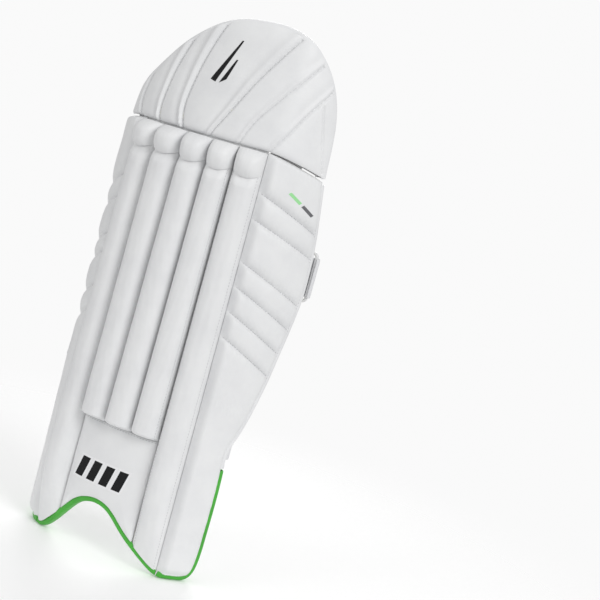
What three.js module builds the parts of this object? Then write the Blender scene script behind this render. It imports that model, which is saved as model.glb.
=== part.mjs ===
// Cricket leg pad (batting pad), right-side wing large, left-side wing small.
// Millimetres, +Z up the leg. The rolls face -Y, the leg and the straps are on +Y,
// the large outer wing is on +X. The pad stands on its two bottom lobes at z = 0.
//
// Everything is laid out on one plan curve. s runs along the front face of the pad
// (0 at the middle roll, positive towards the outer wing), z is the height and n is
// the distance in front of the board's surface.
import * as THREE from 'three';

// ---------------------------------------------------------------- driving dimensions
const FRONT_RADIUS = 240;          // plan radius of the front face
const HALF = 95;                   // s of the wing creases: five rolls of ROLL_W
const ROLL_W = 38;
const ROLLS = [-76, -38, 0, 38, 76];
const OUTER_CREASE = [14, 24];     // length, turn in degrees
const OUTER_CURL = [100, 34];
const INNER_CREASE = [14, 22];
const INNER_CURL = [60, 30];
const ZK = 553;                    // knee seam
const ZI = 170;                    // instep panel's upper seam
const LEAN = 6;                    // top hat leans back, degrees
const CAP_Z0 = 518, CAP_Z1 = 547;  // knee rolls
const ROLL_Z1 = 516.4;
const EDGE = 4.5;                  // width of the edge bindings
const INSET = 5.3;                 // panels stop this far inside the outline
const JOINT_GAP = 0.5;             // half gap at the wing creases
const SKIN = 1.2;
const N_BASE = 2.2;                // rolls stand on the board here
const N_CROWN = 26;                // crown of the rolls
const N_CAP = 31;                  // crown of the knee rolls
const BOARD = [-3.0, 1.6];
const LINING = [-5.2, -3.5];
const CUSHION = [-22.5, -5.8];
const WING_CUSHION = -15.5;         // deepest point of the wings' cushions
const CANE_R = 4;
const STRAP_W = 56, WEB = 2.0, PATCH = 1.0;
const BAR = 4, RING_C = 26, RING_WINDOW_H = 59;
const UPPER_Z = 410, LOWER_Z = 188;
const UPPER_BAR_S = 220, LOWER_BAR_S = 154;   // s of the bars held by the outer wing
const UPPER_BAR_N = 6, LOWER_BAR_N = 12.2;    // their distance inside the board's surface
const FOLD_R = 5.2;                // fold of the strap round the ring's free bar
const STRAP_BOW = 15;              // bow of the straps round the calf, degrees at each end

// bottom outline z(s), free of the wings' rear corners
const BOTTOM = [[-112, 0], [-98, 0], [-86, 0], [-78, 3.5], [-70, 10.5], [-62, 19], [-48, 36], [-36, 50], [-26, 58],
  [-15, 62.5], [-6, 64], [4, 63], [13, 59.5], [23, 52.5], [32, 44.5], [42, 36], [52, 28.3], [62, 21], [72, 14], [81, 8], [90, 3],
  [100, 0], [112, 0], [128, 0]];
// rear outlines, from the bottom up, as [distance from the middle along s, z]
const OUTER_REAR = [[128, 0], [134, 2.2], [139, 6.5], [143, 13.5], [145.5, 24], [147, 40], [147.5, 65], [148, 111], [147, 148], [145.5, 166],
  [148, 181], [157, 203], [164, 224], [171, 248], [177.5, 274],
  [183, 301], [188.5, 328], [194, 355], [198, 380], [199, 402], [197.5, 432], [194, 461], [189.5, 486], [184.5, 512], [181, 530.5]];
const INNER_REAR = [[112, 0], [122, 1.6], [132, 6.5], [141, 15.5], [147, 28], [151, 45], [154, 70], [157, 111], [159, 155], [160, 210],
  [161, 280], [161.5, 350], [161, 410], [158, 460], [154, 500], [149, 525], [144, 543]];
// top hat outline: free edge from the inner end over the dome to the outer end
const HAT = [[-124, 562], [-121.5, 578], [-115.5, 592], [-103, 606], [-84, 627], [-57, 656], [-33, 676], [-7, 692.5], [17, 701],
  [46, 705], [74, 705], [101, 697.5], [125, 680], [144, 659], [158, 636], [167.5, 612], [173, 588], [176.5, 563], [178.5, 543]];
// seams between the wings' bolsters: z at the crease, z at the rear edge
const OUTER_SEAMS = [[322, 276], [354, 307], [386, 339], [417, 371], [471, 433], [504, 464]];
const INNER_SEAMS = [[302, 262], [335, 294], [380, 340], [405, 364], [454, 410], [484, 438]];
// the rolls and the inner crease slant towards the outer side as they rise: shift along s by SLANT[s] at SLANT_TO
const SLANT_FROM = 80, SLANT_TO = 550;
const SLANT = [[-150, 0], [-95, 12], [-57, 9], [-19, 9], [19, 6.5], [57, 2], [95, 0]];

// ---------------------------------------------------------------- plan curve
const rad = THREE.MathUtils.degToRad;
const segs = {
  1: [[HALF, 1 / FRONT_RADIUS], [OUTER_CREASE[0], rad(OUTER_CREASE[1]) / OUTER_CREASE[0]], [900, rad(OUTER_CURL[1]) / OUTER_CURL[0]]],
  [-1]: [[HALF, 1 / FRONT_RADIUS], [INNER_CREASE[0], rad(INNER_CREASE[1]) / INNER_CREASE[0]], [900, rad(INNER_CURL[1]) / INNER_CURL[0]]]
};
function plan(s) {
  const side = s < 0 ? -1 : 1;
  let x = 0, y = 0, t = 0, left = Math.abs(s);
  for (const [len, k] of segs[side]) {
    const d = Math.min(left, len);
    x += (Math.sin(t + k * d) - Math.sin(t)) / k;
    y += (Math.cos(t) - Math.cos(t + k * d)) / k;
    t += k * d;
    left -= d;
    if (left <= 0) break;
  }
  return { x: side * x, y, t: side * t, tx: Math.cos(t), ty: side * Math.sin(t), nx: side * Math.sin(t), ny: -Math.cos(t) };
}
function P(s, z, n, lean = false) {
  const c = plan(lean ? s : s + interp(SLANT, s) * (z - SLANT_FROM) / (SLANT_TO - SLANT_FROM));
  const back = lean && z > ZK ? (z - ZK) * Math.tan(rad(LEAN)) : 0;
  return [c.x + n * c.nx, c.y + n * c.ny + back, z];
}
const lerp = (a, b, f) => a + (b - a) * f;
function interp(table, v, from = 0, to = 1) {
  if (v <= table[0][from]) return table[0][to];
  for (let i = 1; i < table.length; i++) {
    if (v <= table[i][from]) {
      const f = (v - table[i - 1][from]) / (table[i][from] - table[i - 1][from]);
      return lerp(table[i - 1][to], table[i][to], f);
    }
  }
  return table[table.length - 1][to];
}
const zBottom = s => interp(BOTTOM, s);
// the knee seam drops a little towards the wings' rear edges
function zKnee(s) {
  const a = Math.abs(s);
  if (a <= HALF) return ZK;
  return s > 0 ? ZK - 20 * Math.pow((a - HALF) / 86, 1.2) : ZK - 8 * Math.pow((a - HALF) / 60, 1.2);
}

// ---------------------------------------------------------------- mesh helpers
function geometry(verts, tris) {
  const g = new THREE.BufferGeometry();
  g.setAttribute('position', new THREE.Float32BufferAttribute(verts.flat(), 3));
  g.setIndex(tris.flat());
  g.computeVertexNormals();
  return g;
}
// closed slab between two offsets over a grid of (s, z); i runs along s, j upwards
function slab(S, Z, nOut, nIn, lean = false) {
  const I = S.length, J = S[0].length, verts = [], tris = [];
  const fo = typeof nOut === 'function' ? nOut : () => nOut;
  const fi = typeof nIn === 'function' ? nIn : () => nIn;
  for (const f of [fo, fi]) for (let i = 0; i < I; i++) for (let j = 0; j < J; j++) verts.push(P(S[i][j], Z[i][j], f(i, j), lean));
  const a = (i, j) => i * J + j, b = (i, j) => I * J + i * J + j;
  for (let i = 0; i < I - 1; i++) for (let j = 0; j < J - 1; j++) {
    tris.push([a(i, j), a(i + 1, j), a(i + 1, j + 1)], [a(i, j), a(i + 1, j + 1), a(i, j + 1)]);
    tris.push([b(i, j), b(i + 1, j + 1), b(i + 1, j)], [b(i, j), b(i, j + 1), b(i + 1, j + 1)]);
  }
  for (let i = 0; i < I - 1; i++) {
    tris.push([a(i, 0), b(i, 0), b(i + 1, 0)], [a(i, 0), b(i + 1, 0), a(i + 1, 0)]);
    tris.push([a(i, J - 1), b(i + 1, J - 1), b(i, J - 1)], [a(i, J - 1), a(i + 1, J - 1), b(i + 1, J - 1)]);
  }
  for (let j = 0; j < J - 1; j++) {
    tris.push([a(0, j), b(0, j + 1), b(0, j)], [a(0, j), a(0, j + 1), b(0, j + 1)]);
    tris.push([a(I - 1, j), b(I - 1, j), b(I - 1, j + 1)], [a(I - 1, j), b(I - 1, j + 1), a(I - 1, j + 1)]);
  }
  return geometry(verts, tris);
}
// a slab whose s runs towards negative values is mirrored, so its faces are turned round
function flip(g) {
  const ix = g.getIndex().array;
  for (let i = 0; i < ix.length; i += 3) { const t = ix[i + 1]; ix[i + 1] = ix[i + 2]; ix[i + 2] = t; }
  g.computeVertexNormals();
  return g;
}
// closed body through a stack of sections; each section is a counter-clockwise loop of [s, n], seen from above
function loft(levels, section) {
  const verts = [], tris = [];
  const m = section(0, levels.length).length;
  for (let k = 0; k < levels.length; k++) {
    for (const [s, n] of section(k, levels.length)) verts.push(P(s, levels[k](s), n));
  }
  for (let k = 0; k < levels.length - 1; k++) for (let i = 0; i < m; i++) {
    const i2 = (i + 1) % m;
    tris.push([k * m + i, k * m + i2, (k + 1) * m + i2], [k * m + i, (k + 1) * m + i2, (k + 1) * m + i]);
  }
  for (const [k, up] of [[0, false], [levels.length - 1, true]]) {
    const flat = section(k, levels.length).map(([s, n]) => new THREE.Vector2(s, n));
    const cap = THREE.ShapeUtils.triangulateShape(flat, []);
    for (const [p, q, r] of cap) {
      const t = [k * m + p, k * m + q, k * m + r];
      // sections are drawn in (s, n); n points to -Y, so the plan view is mirrored
      if ((THREE.ShapeUtils.area([flat[p], flat[q], flat[r]]) > 0) === up) t.reverse();
      tris.push(t);
    }
  }
  return geometry(verts, tris);
}
// band of constant width inside an outline in (s, z); inward is to the left of the path when side = 1
function offsetPath(path, d) {
  const out = [];
  for (let i = 0; i < path.length; i++) {
    const p = path[i], a = path[Math.max(0, i - 1)], b = path[Math.min(path.length - 1, i + 1)];
    const dirs = [];
    if (i > 0) dirs.push([p[0] - a[0], p[1] - a[1]]);
    if (i < path.length - 1) dirs.push([b[0] - p[0], b[1] - p[1]]);
    const nn = dirs.map(([x, y]) => { const l = Math.hypot(x, y); return [-y / l, x / l]; });
    let nx = nn.reduce((t, v) => t + v[0], 0), ny = nn.reduce((t, v) => t + v[1], 0);
    const l = Math.hypot(nx, ny);
    nx /= l; ny /= l;
    const c = nx * nn[0][0] + ny * nn[0][1];
    out.push([p[0] + nx * d / c, p[1] + ny * d / c]);
  }
  return out;
}
function band(path, width, nOut, nIn, lean = false, ends = [null, null]) {
  const inner = offsetPath(path, width);
  for (const [k, e] of [[0, 0], [1, path.length - 1]]) {
    if (ends[k] === 's') inner[e][0] = path[e][0];
    if (ends[k] === 'z') inner[e][1] = path[e][1];
  }
  const S = [inner.map(p => p[0]), path.map(p => p[0])];
  const Z = [inner.map(p => p[1]), path.map(p => p[1])];
  return slab(S, Z, nOut, nIn, lean);
}
function smooth(points, n) {
  const c = new THREE.CatmullRomCurve3(points.map(p => new THREE.Vector3(p[0], p[1], 0)), false, 'centripetal');
  return c.getSpacedPoints(n).map(v => [v.x, v.y]);
}
function distance(path, x, y) {
  let best = 1e9;
  for (let i = 1; i < path.length; i++) {
    const [ax, ay] = path[i - 1], [bx, by] = path[i];
    const dx = bx - ax, dy = by - ay;
    const f = Math.max(0, Math.min(1, ((x - ax) * dx + (y - ay) * dy) / (dx * dx + dy * dy)));
    best = Math.min(best, Math.hypot(x - ax - f * dx, y - ay - f * dy));
  }
  return best;
}
// straight prism over a plan polygon
function prism(points, z0, z1) {
  const shape = new THREE.Shape(points.map(([x, y]) => new THREE.Vector2(x, y)));
  return new THREE.ExtrudeGeometry(shape, { depth: z1 - z0, bevelEnabled: false, curveSegments: 1 }).translate(0, 0, z0);
}
// plan polygon of a strip with thickness t along a polyline
function strip(line, t, shift = 0) {
  const l = offsetPath(line, shift + t / 2), r = offsetPath(line, shift - t / 2);
  return [...r, ...l.reverse()];
}

const materials = {};
function finish(color, roughness) {
  const k = color + roughness;
  materials[k] ??= new THREE.MeshStandardMaterial({ color, roughness, metalness: 0 });
  return materials[k];
}
const WHITE = ['#eceef0', 0.55], FOAM = ['#f2f2ee', 0.9], CANE = ['#c9a96a', 0.6], GREEN = ['#4fbf3c', 0.55], CREAM = ['#eeeee4', 0.9],
  WEBBING = ['#dfe0e4', 0.85], PLASTIC = ['#f4f5f6', 0.35], HOOK = ['#e6e7ea', 0.95], LININGC = ['#f1f1f4', 0.75];
const group = new THREE.Group();
function add(name, g, [color, rough]) {
  const m = new THREE.Mesh(g, finish(color, rough));
  m.name = name;
  group.add(m);
  return m;
}

// ---------------------------------------------------------------- shin: rolls, canes, knee rolls
const bottomPath = [];
for (let s = -HALF + JOINT_GAP; s < HALF - JOINT_GAP; s += 9) bottomPath.push([s, zBottom(s)]);
bottomPath.push([HALF - JOINT_GAP, zBottom(HALF - JOINT_GAP)]);
const bottomDense = BOTTOM.map(p => [p[0], p[1]]);
function zBottomIn(s, inset = INSET + 0.6) {
  let z = zBottom(s) + inset;
  while (distance(bottomDense, s, z) < inset) z += 0.25;
  return z;
}
const ARC = [-1, -0.9, -0.66, -0.34, 0, 0.34, 0.66, 0.9, 1];
const dome = a => Math.pow(Math.max(0, 1 - Math.pow(Math.abs(a), 2.6)), 0.55);
function rollSection(sc, hw, crown, n0) {
  return ARC.map(a => [sc + a * hw, n0 + (crown - n0) * dome(a)]);
}
ROLLS.forEach((sc, k) => {
  const ends = Math.abs(sc) > 70;
  const hw = ROLL_W / 2 - 0.35;
  const z0 = s => (ends ? zBottomIn(s) : ZI + 0.6);
  const cuts = ends ? [0, 0.012, 0.05, 0.12, 0.3, 0.94, 0.985, 1] : [0, 0.012, 0.05, 0.94, 0.985, 1];
  const crown = ends ? [7, 11, 15.5, 21, N_CROWN - 1, N_CROWN, 23, 16] : [16, 22, N_CROWN - 0.5, N_CROWN, 23, 16];
  const levels = cuts.map(f => s => lerp(z0(s), ROLL_Z1, f));
  add('roll_cover_' + (k + 1), loft(levels, i => {
    const outer = rollSection(sc, hw, crown[i], N_BASE);
    const inner = rollSection(sc, hw - SKIN, crown[i] - SKIN, N_BASE);
    return [...outer, ...inner.reverse()];
  }), WHITE);
  const coreCuts = ends ? [0, 0.08, 0.25, 0.94, 0.985, 1] : [0, 0.05, 0.94, 0.985, 1];
  const coreCrown = ends ? [15, 19.5, N_CROWN - 2, N_CROWN, 23, 16] : [16, N_CROWN - 1, N_CROWN, 23, 16];
  const coreLow = ends ? Math.max(zBottomIn(sc - hw), zBottomIn(sc + hw)) + 34 : ZI + 3;
  add('roll_core_' + (k + 1), loft(coreCuts.map(f => () => lerp(coreLow, ROLL_Z1 - 1.5, f)), i => {
    const c = coreCrown[i] - SKIN - 1.3;
    const depth = Math.min(12.4, c - 1.2);
    const outer = rollSection(sc, hw - SKIN - 1.2, c, 2.9);
    return [...outer, [sc + 4.8, 2.9], [sc + 4.4, depth], [sc - 4.4, depth], [sc - 4.8, 2.9]];
  }), FOAM);
  const c0 = new THREE.Vector3(...P(sc, ends ? 130 : ZI + 34, 7.4)), c1 = new THREE.Vector3(...P(sc, 485, 7.4));
  const rod = new THREE.CylinderGeometry(CANE_R, CANE_R, c0.distanceTo(c1), 8);
  const cane = add('cane_rod_' + (k + 1), rod, CANE);
  cane.position.copy(c0).add(c1).multiplyScalar(0.5);
  cane.quaternion.setFromUnitVectors(new THREE.Vector3(0, 1, 0), c1.clone().sub(c0).normalize());
  const capZ = [0, 0.12, 0.35, 0.65, 0.88, 1];
  const capN = [17, 25.5, N_CAP - 0.5, N_CAP, 25, 15];
  add('knee_roll_' + (k + 1), loft(capZ.map(f => () => lerp(CAP_Z0, CAP_Z1, f)), i => {
    const w = [hw - 0.8, hw, hw, hw, hw, hw - 0.8][i];
    return [...rollSection(sc, w, capN[i], N_BASE + 0.2), [sc + w / 2, N_BASE + 0.2], [sc, N_BASE + 0.2], [sc - w / 2, N_BASE + 0.2]];
  }), WHITE);
});

// ---------------------------------------------------------------- shin: board, lining, instep, cushions
function column(count, s0, s1) {
  return Array.from({ length: count + 1 }, (_, i) => lerp(s0, s1, i / count));
}
function sheet(cols, zLow, zHigh, nOut, nIn) {
  return slab(cols.map(s => [s, s]), cols.map(s => [zLow(s), zHigh(s)]), nOut, nIn);
}
const fullCols = column(24, -HALF + JOINT_GAP, HALF - JOINT_GAP);
add('shin_board', sheet(fullCols, s => zBottomIn(s), () => CAP_Z1, BOARD[1], BOARD[0]), FOAM);
add('shin_lining', sheet(fullCols, s => zBottomIn(s), () => CAP_Z1, LINING[1], LINING[0]), LININGC);
const instepCols = column(14, -ROLL_W * 1.5 + 0.6, ROLL_W * 1.5 - 0.6);
{
  const rows = [0, 0.08, 0.35, 0.65, 0.92, 1];
  const S = instepCols.map(s => rows.map(() => s));
  const Z = instepCols.map(s => rows.map(f => lerp(zBottomIn(s), ZI - 0.6, f)));
  const edge = (i, j) => Math.min(1, Math.min(i, instepCols.length - 1 - i) / 2) * [0, 0.7, 1, 1, 0.7, 0][j];
  add('instep_panel', slab(S, Z, (i, j) => 5 + 5 * edge(i, j), N_BASE), WHITE);
}
add('instep_binding', band(bottomPath, EDGE, 6.5, -5.6, false, ['s', 's']), GREEN);
function cushion(name, s0, s1, z0 = 146, z1 = 545, deepest = CUSHION[0]) {
  const cuts = [0, 0.02, 0.06, 0.5, 0.95, 0.985, 1];
  const thick = [0.45, 0.8, 1, 1, 1, 0.8, 0.4];
  const prof = [0, 0.04, 0.14, 0.32, 0.5, 0.68, 0.86, 0.96, 1];
  const deep = [0.3, 0.72, 0.95, 1, 1, 1, 0.95, 0.72, 0.3];
  add(name, loft(cuts.map(f => () => lerp(z0, z1, f)), i => {
    const t = (CUSHION[1] - deepest) * thick[i];
    const back = prof.map((f, k) => [lerp(s0, s1, f), CUSHION[1] - t * deep[k]]);
    return [[s0, CUSHION[1]], ...back, [s1, CUSHION[1]]].reverse();
  }), CREAM);
}
cushion('cushion_outer', 25, 92);
cushion('cushion_inner', -88, -25);
// thinner ones carry on over the wings' linings, clear of the lower ring and the strap patches
cushion('outer_wing_cushion', 99, 150, 232, 526, WING_CUSHION);
cushion('inner_wing_cushion', -132, -99, 178, 526, WING_CUSHION);
add('centre_strip', sheet([-22.5, -11.5, 11.5, 22.5], () => 152, () => CAP_Z1 - 1, -5.8, -7.3), LININGC);

// ---------------------------------------------------------------- wings
function wing(side, rear, seams, name) {
  const sg = side;
  const outline = [...(side > 0 ? BOTTOM.filter(p => p[0] > HALF - 6) : BOTTOM.filter(p => p[0] < -HALF + 6).map(p => [-p[0], p[1]]).reverse()), ...rear.slice(1)];
  const seamRow = ([za, ze]) => a => lerp(za, ze, (a - HALF) / (interp(rear, ze, 1, 0) - HALF));
  const top = a => zKnee(sg * a) - 4.5;
  const rearTop = rear.map(p => [p[0], p[1]]);
  const level = z => () => z;
  const rowBottom = a => {
    let z = zBottom(sg * Math.min(a, 111)) + INSET;
    while (distance(outline, a, z) < INSET && z < 60) z += 0.25;
    return z;
  };
  const keys = [rowBottom, level(30), level(90), level(149), level(166),
    a => lerp(192, 180, (a - HALF) / 60), a => lerp(235, 205, (a - HALF) / 75), ...seams.map(seamRow), top];
  const subs = [1, 1, 1, 1, 1, 1, 3, 3, 3, 3, 3, 3, 5];
  const rows = [];
  keys.forEach((f, k) => {
    rows.push({ z: f, band: k, f: 0 });
    if (k < subs.length - 0 && k < keys.length - 1) {
      for (let q = 1; q < subs[k]; q++) {
        const g = q / subs[k];
        rows.push({ z: a => lerp(f(a), keys[k + 1](a), g), band: k, f: g });
      }
    }
  });
  function edgeOf(row, inset) {
    let a = HALF + 20;
    const free = rearTop.concat([[interp(rear, 900, 1, 0), 700]]);
    while (a < 215) {
      const z = row.z(a);
      if (distance(inset > 1 ? outline : outline, a, z) < inset || a > interp(rear, z, 1, 0) - inset * 0.9) break;
      a += 0.25;
    }
    return a - 0.25;
  }
  const fixed = [HALF + JOINT_GAP, HALF + 4, HALF + 7.5, HALF + 11, HALF + 14.5];
  const fr = side > 0 ? [0.2, 0.4, 0.6, 0.8, 0.94, 1] : [0.3, 0.6, 0.9, 1];
  const S = [...fixed, ...fr].map(() => []), Z = [...fixed, ...fr].map(() => []);
  const edges = rows.map(r => edgeOf(r, INSET));
  rows.forEach((r, j) => {
    [...fixed, ...fr].forEach((v, i) => {
      const a = i < fixed.length ? v : lerp(fixed[fixed.length - 1], edges[j], v);
      S[i][j] = sg * a;
      Z[i][j] = r.z(a);
    });
  });
  const puff = (i, j) => {
    const u = Math.min(1, (S.length - 1 - i) / 1.6) * Math.min(1, 0.35 + i / 3);
    const r = rows[j];
    let p = r.band >= 7 || r.band === 6 ? Math.pow(Math.sin(Math.PI * Math.max(0.0, r.f)), 0.6) : 0.7;
    if (r.band === keys.length - 1) p = 0;
    if (r.band === 6 && r.f === 0) p = 0.7;
    if (r.band === 0 && r.f === 0) p = 0.1;
    return u * p;
  };
  const fix = g => (side > 0 ? g : flip(g));
  add(name + '_cover', fix(slab(S, Z, (i, j) => 5.6 + 5.6 * puff(i, j), (i, j) => 4.4 + 5.6 * puff(i, j))), WHITE);
  add(name + '_foam', fix(slab(S, Z, (i, j) => 3.9 + 5.6 * puff(i, j), () => -3.0)), FOAM);
  const key = rows.map((r, j) => j).filter(j => rows[j].f === 0 || j === rows.length - 1);
  const pick = G => G.map(c => key.map(j => c[j]));
  add(name + '_lining', fix(slab(pick(S), pick(Z), LINING[1], LINING[0])), LININGC);
  // edge bindings: green round the bottom and up to the first station above 150, white above it
  const GREEN_Z = 152;
  const bottomPart = outline.filter(p => p[0] > HALF + JOINT_GAP + 2 && p[1] < GREEN_Z - 12);
  const hem = [[HALF + JOINT_GAP, zBottom(sg * (HALF + JOINT_GAP))], ...bottomPart, [interp(rear, GREEN_Z - 0.4, 1, 0), GREEN_Z - 0.4]];
  const white = [[interp(rear, GREEN_Z, 1, 0), GREEN_Z], ...rear.filter(p => p[1] > GREEN_Z + 3 && p[1] < zKnee(sg * p[0]) - 12)];
  const topZ = a => zKnee(sg * a) - 4.5;
  const aTop = rear[rear.length - 1][0];
  white.push([aTop, topZ(aTop)]);
  const bandAt = (path, ends) => {
    const inner = offsetPath(path, EDGE);
    const last = path.length - 1;
    if (ends[0] === 's') inner[0][0] = path[0][0];
    if (ends[0] === 'z') inner[0][1] = path[0][1];
    if (ends[1] === 'z') inner[last][1] = path[last][1];
    const Sg = [inner.map(p => sg * p[0]), path.map(p => sg * p[0])];
    const Zg = [inner.map(p => p[1]), path.map(p => p[1])];
    return fix(slab(Sg, Zg, 6.8, -5.6));
  };
  add(name + '_hem', bandAt(hem, ['s', 'z']), GREEN);
  add(name + '_binding', bandAt(white, ['z', 'z']), WHITE);
}
wing(1, OUTER_REAR, OUTER_SEAMS, 'outer_wing');
wing(-1, INNER_REAR, INNER_SEAMS, 'inner_wing');

// ---------------------------------------------------------------- top hat
// the seam gap opens towards the rear so that the knee can flex
const hatBottom = s => zKnee(s) + 2 + Math.max(0, plan(s).y - 15) * 0.07;
{
  const outline = smooth(HAT, 32);
  outline[0][1] = hatBottom(outline[0][0]);
  outline[outline.length - 1][1] = hatBottom(outline[outline.length - 1][0]);
  const inset = offsetPath(outline, -INSET);
  inset[0] = [outline[0][0] + INSET, hatBottom(outline[0][0] + INSET)];
  const L = inset.length - 1;
  inset[L] = [outline[L][0] - INSET, hatBottom(outline[L][0] - INSET)];
  const iL = 3, iR = L - 5;
  const cols = [];
  for (let i = iL; i <= iR; i++) cols.push(inset[i]);
  const n = cols.length;
  const rows = [0, 0.25, 0.5, 0.75, 1];
  // end columns follow the outline between the seam and the corner
  const along = (path, f) => {
    const t = f * (path.length - 1), k = Math.min(path.length - 2, Math.floor(t));
    return [lerp(path[k][0], path[k + 1][0], t - k), lerp(path[k][1], path[k + 1][1], t - k)];
  };
  const left = inset.slice(0, iL + 1), right = inset.slice(iR).reverse();
  const S = cols.map((top, i) => {
    const u = i / (n - 1);
    return rows.map(f => {
      const bs = lerp(inset[0][0], inset[L][0], u);
      if (i === 0) return along(left, f)[0];
      if (i === n - 1) return along(right, f)[0];
      return lerp(bs, top[0], f);
    });
  });
  const Z = cols.map((top, i) => {
    const u = i / (n - 1);
    return rows.map(f => {
      const bs = lerp(inset[0][0], inset[L][0], u);
      if (i === 0) return along(left, f)[1];
      if (i === n - 1) return along(right, f)[1];
      return lerp(hatBottom(bs), top[1], f);
    });
  });
  add('top_hat_cover', slab(S, Z, 8.8, 7.5, true), WHITE);
  add('top_hat_foam', slab(S, Z, 7.0, -3.0, true), FOAM);
  add('top_hat_lining', slab(S, Z, LINING[1], LINING[0], true), LININGC);
  const inner = offsetPath(outline, -EDGE);
  inner[0] = [outline[0][0] + EDGE, hatBottom(outline[0][0] + EDGE)];
  inner[L] = [outline[L][0] - EDGE, hatBottom(outline[L][0] - EDGE)];
  add('top_hat_binding', slab([outline.map(p => p[0]), inner.map(p => p[0])], [outline.map(p => p[1]), inner.map(p => p[1])], 9.4, -5.8, true), WHITE);
}

// ---------------------------------------------------------------- straps and rings
const rot = ([x, y], t) => [x * Math.cos(t) - y * Math.sin(t), x * Math.sin(t) + y * Math.cos(t)];
function strapSet(name, zc, sBar, nBar, leads) {
  const eIn = -interp(INNER_REAR, zc, 1, 0);
  const z0 = zc - STRAP_W / 2, z1 = zc + STRAP_W / 2;
  // bar held by the wing, on the leg side of its lining
  const o = plan(sBar);
  const A = [o.x - nBar * o.nx, o.y - nBar * o.ny];
  // hinge line of the strap on the inner wing
  const q = plan(eIn);
  const H = [q.x - 4.0 * q.tx - 9.2 * q.nx, q.y - 4.0 * q.ty - 9.2 * q.ny];
  const chord = Math.hypot(A[0] - H[0], A[1] - H[1]);
  const u0 = [(A[0] - H[0]) / chord, (A[1] - H[1]) / chord];
  const u = rot(u0, -rad(STRAP_BOW)), v = [-u[1], u[0]];
  const B = [A[0] - RING_C * u[0], A[1] - RING_C * u[1]];      // bar that the strap turns round
  const at = (a, b) => [B[0] + a * u[0] + b * v[0], B[1] + a * u[1] + b * v[1]];
  // keeper: a folded tape sewn to the wing's lining and closed round the bar
  const tape = leads.map(d => { const p = plan(sBar + d); return [p.x - 6.8 * p.nx, p.y - 6.8 * p.ny]; });
  const back = Math.atan2(o.ty, o.tx);
  for (let k = 0; k <= 8; k++) {
    const t = back + Math.PI * 0.78 - (k / 8) * Math.PI * 1.5 - Math.PI * 0.06;
    tape.push([A[0] + 4.4 * Math.cos(t), A[1] + 4.4 * Math.sin(t)]);
  }
  add(name + '_ring_keeper', prism(strip(tape, 1.5), z0 + 2, z1 - 2), WEBBING);
  // ring: rounded rectangle with a window for the strap
  const half = (RING_WINDOW_H + 2 * BAR) / 2, w0 = -BAR / 2, w1 = RING_C + BAR / 2;
  const rr = new THREE.Shape();
  const box = (sh, x0, y0, x1, y1, rad0) => {
    sh.moveTo(x0 + rad0, y0); sh.lineTo(x1 - rad0, y0); sh.quadraticCurveTo(x1, y0, x1, y0 + rad0);
    sh.lineTo(x1, y1 - rad0); sh.quadraticCurveTo(x1, y1, x1 - rad0, y1);
    sh.lineTo(x0 + rad0, y1); sh.quadraticCurveTo(x0, y1, x0, y1 - rad0);
    sh.lineTo(x0, y0 + rad0); sh.quadraticCurveTo(x0, y0, x0 + rad0, y0);
  };
  box(rr, w0, -half, w1, half, 5);
  const hole = new THREE.Path();
  box(hole, w0 + BAR, -half + BAR, w1 - BAR, half - BAR, 1.5);
  rr.holes.push(hole);
  const rg = new THREE.ExtrudeGeometry(rr, { depth: BAR, bevelEnabled: false, curveSegments: 3 }).translate(0, 0, -BAR / 2);
  const m = new THREE.Matrix4().makeBasis(new THREE.Vector3(u[0], u[1], 0), new THREE.Vector3(0, 0, 1), new THREE.Vector3(-v[0], -v[1], 0));
  m.setPosition(B[0], B[1], zc);
  rg.applyMatrix4(m);
  add(name + '_ring', rg, PLASTIC);
  // webbing: bowed round the calf from the inner wing to the ring, then half round the bar
  const p3 = at(-20, -FOLD_R), span = Math.hypot(p3[0] - H[0], p3[1] - H[1]) / 3;
  const t0 = rot(u0, rad(STRAP_BOW));
  const curve = new THREE.CubicBezierCurve3(new THREE.Vector3(H[0], H[1], 0), new THREE.Vector3(H[0] + span * t0[0], H[1] + span * t0[1], 0),
    new THREE.Vector3(p3[0] - span * u[0], p3[1] - span * u[1], 0), new THREE.Vector3(p3[0], p3[1], 0));
  // point of the strap's run at parameter t, moved off it by d away from the leg
  const run = (t, d = 0) => {
    const p = curve.getPoint(t), g = curve.getTangent(t);
    return [p.x - g.y * d, p.y + g.x * d];
  };
  const grid = (t0, t1) => { const l = []; for (let t = t0; t < t1 + 1e-6; t += 0.06) l.push(t); return l; };
  const turn = [];
  for (let k = 0; k <= 6; k++) { const t = -Math.PI / 2 + (k / 6) * Math.PI; turn.push(at(FOLD_R * Math.cos(t), FOLD_R * Math.sin(t))); }
  add(name + '_strap_webbing', prism(strip([...grid(0.012, 0.912).map(t => run(t)), p3, ...turn], WEB), z0, z1), WEBBING);
  const patch = WEB / 2 + 0.35 + PATCH / 2;
  add(name + '_loop_patch', prism(strip(grid(0.132, 0.792).map(t => run(t, patch)), PATCH), z0 + 4, z1 - 4), HOOK);
  // tail: from the bar back over the webbing
  const off = WEB + 2 * PATCH + 1.2;
  const tail = [at(-0.7, FOLD_R), at(-20, FOLD_R), ...grid(0.072, 0.852).reverse().map(t => run(t, off))];
  add(name + '_tail_webbing', prism(strip(tail, WEB), z0, z1), WEBBING);
  add(name + '_hook_patch', prism(strip(grid(0.192, 0.432).map(t => run(t, off - patch)), PATCH), z0 + 4, z1 - 4), HOOK);
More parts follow.
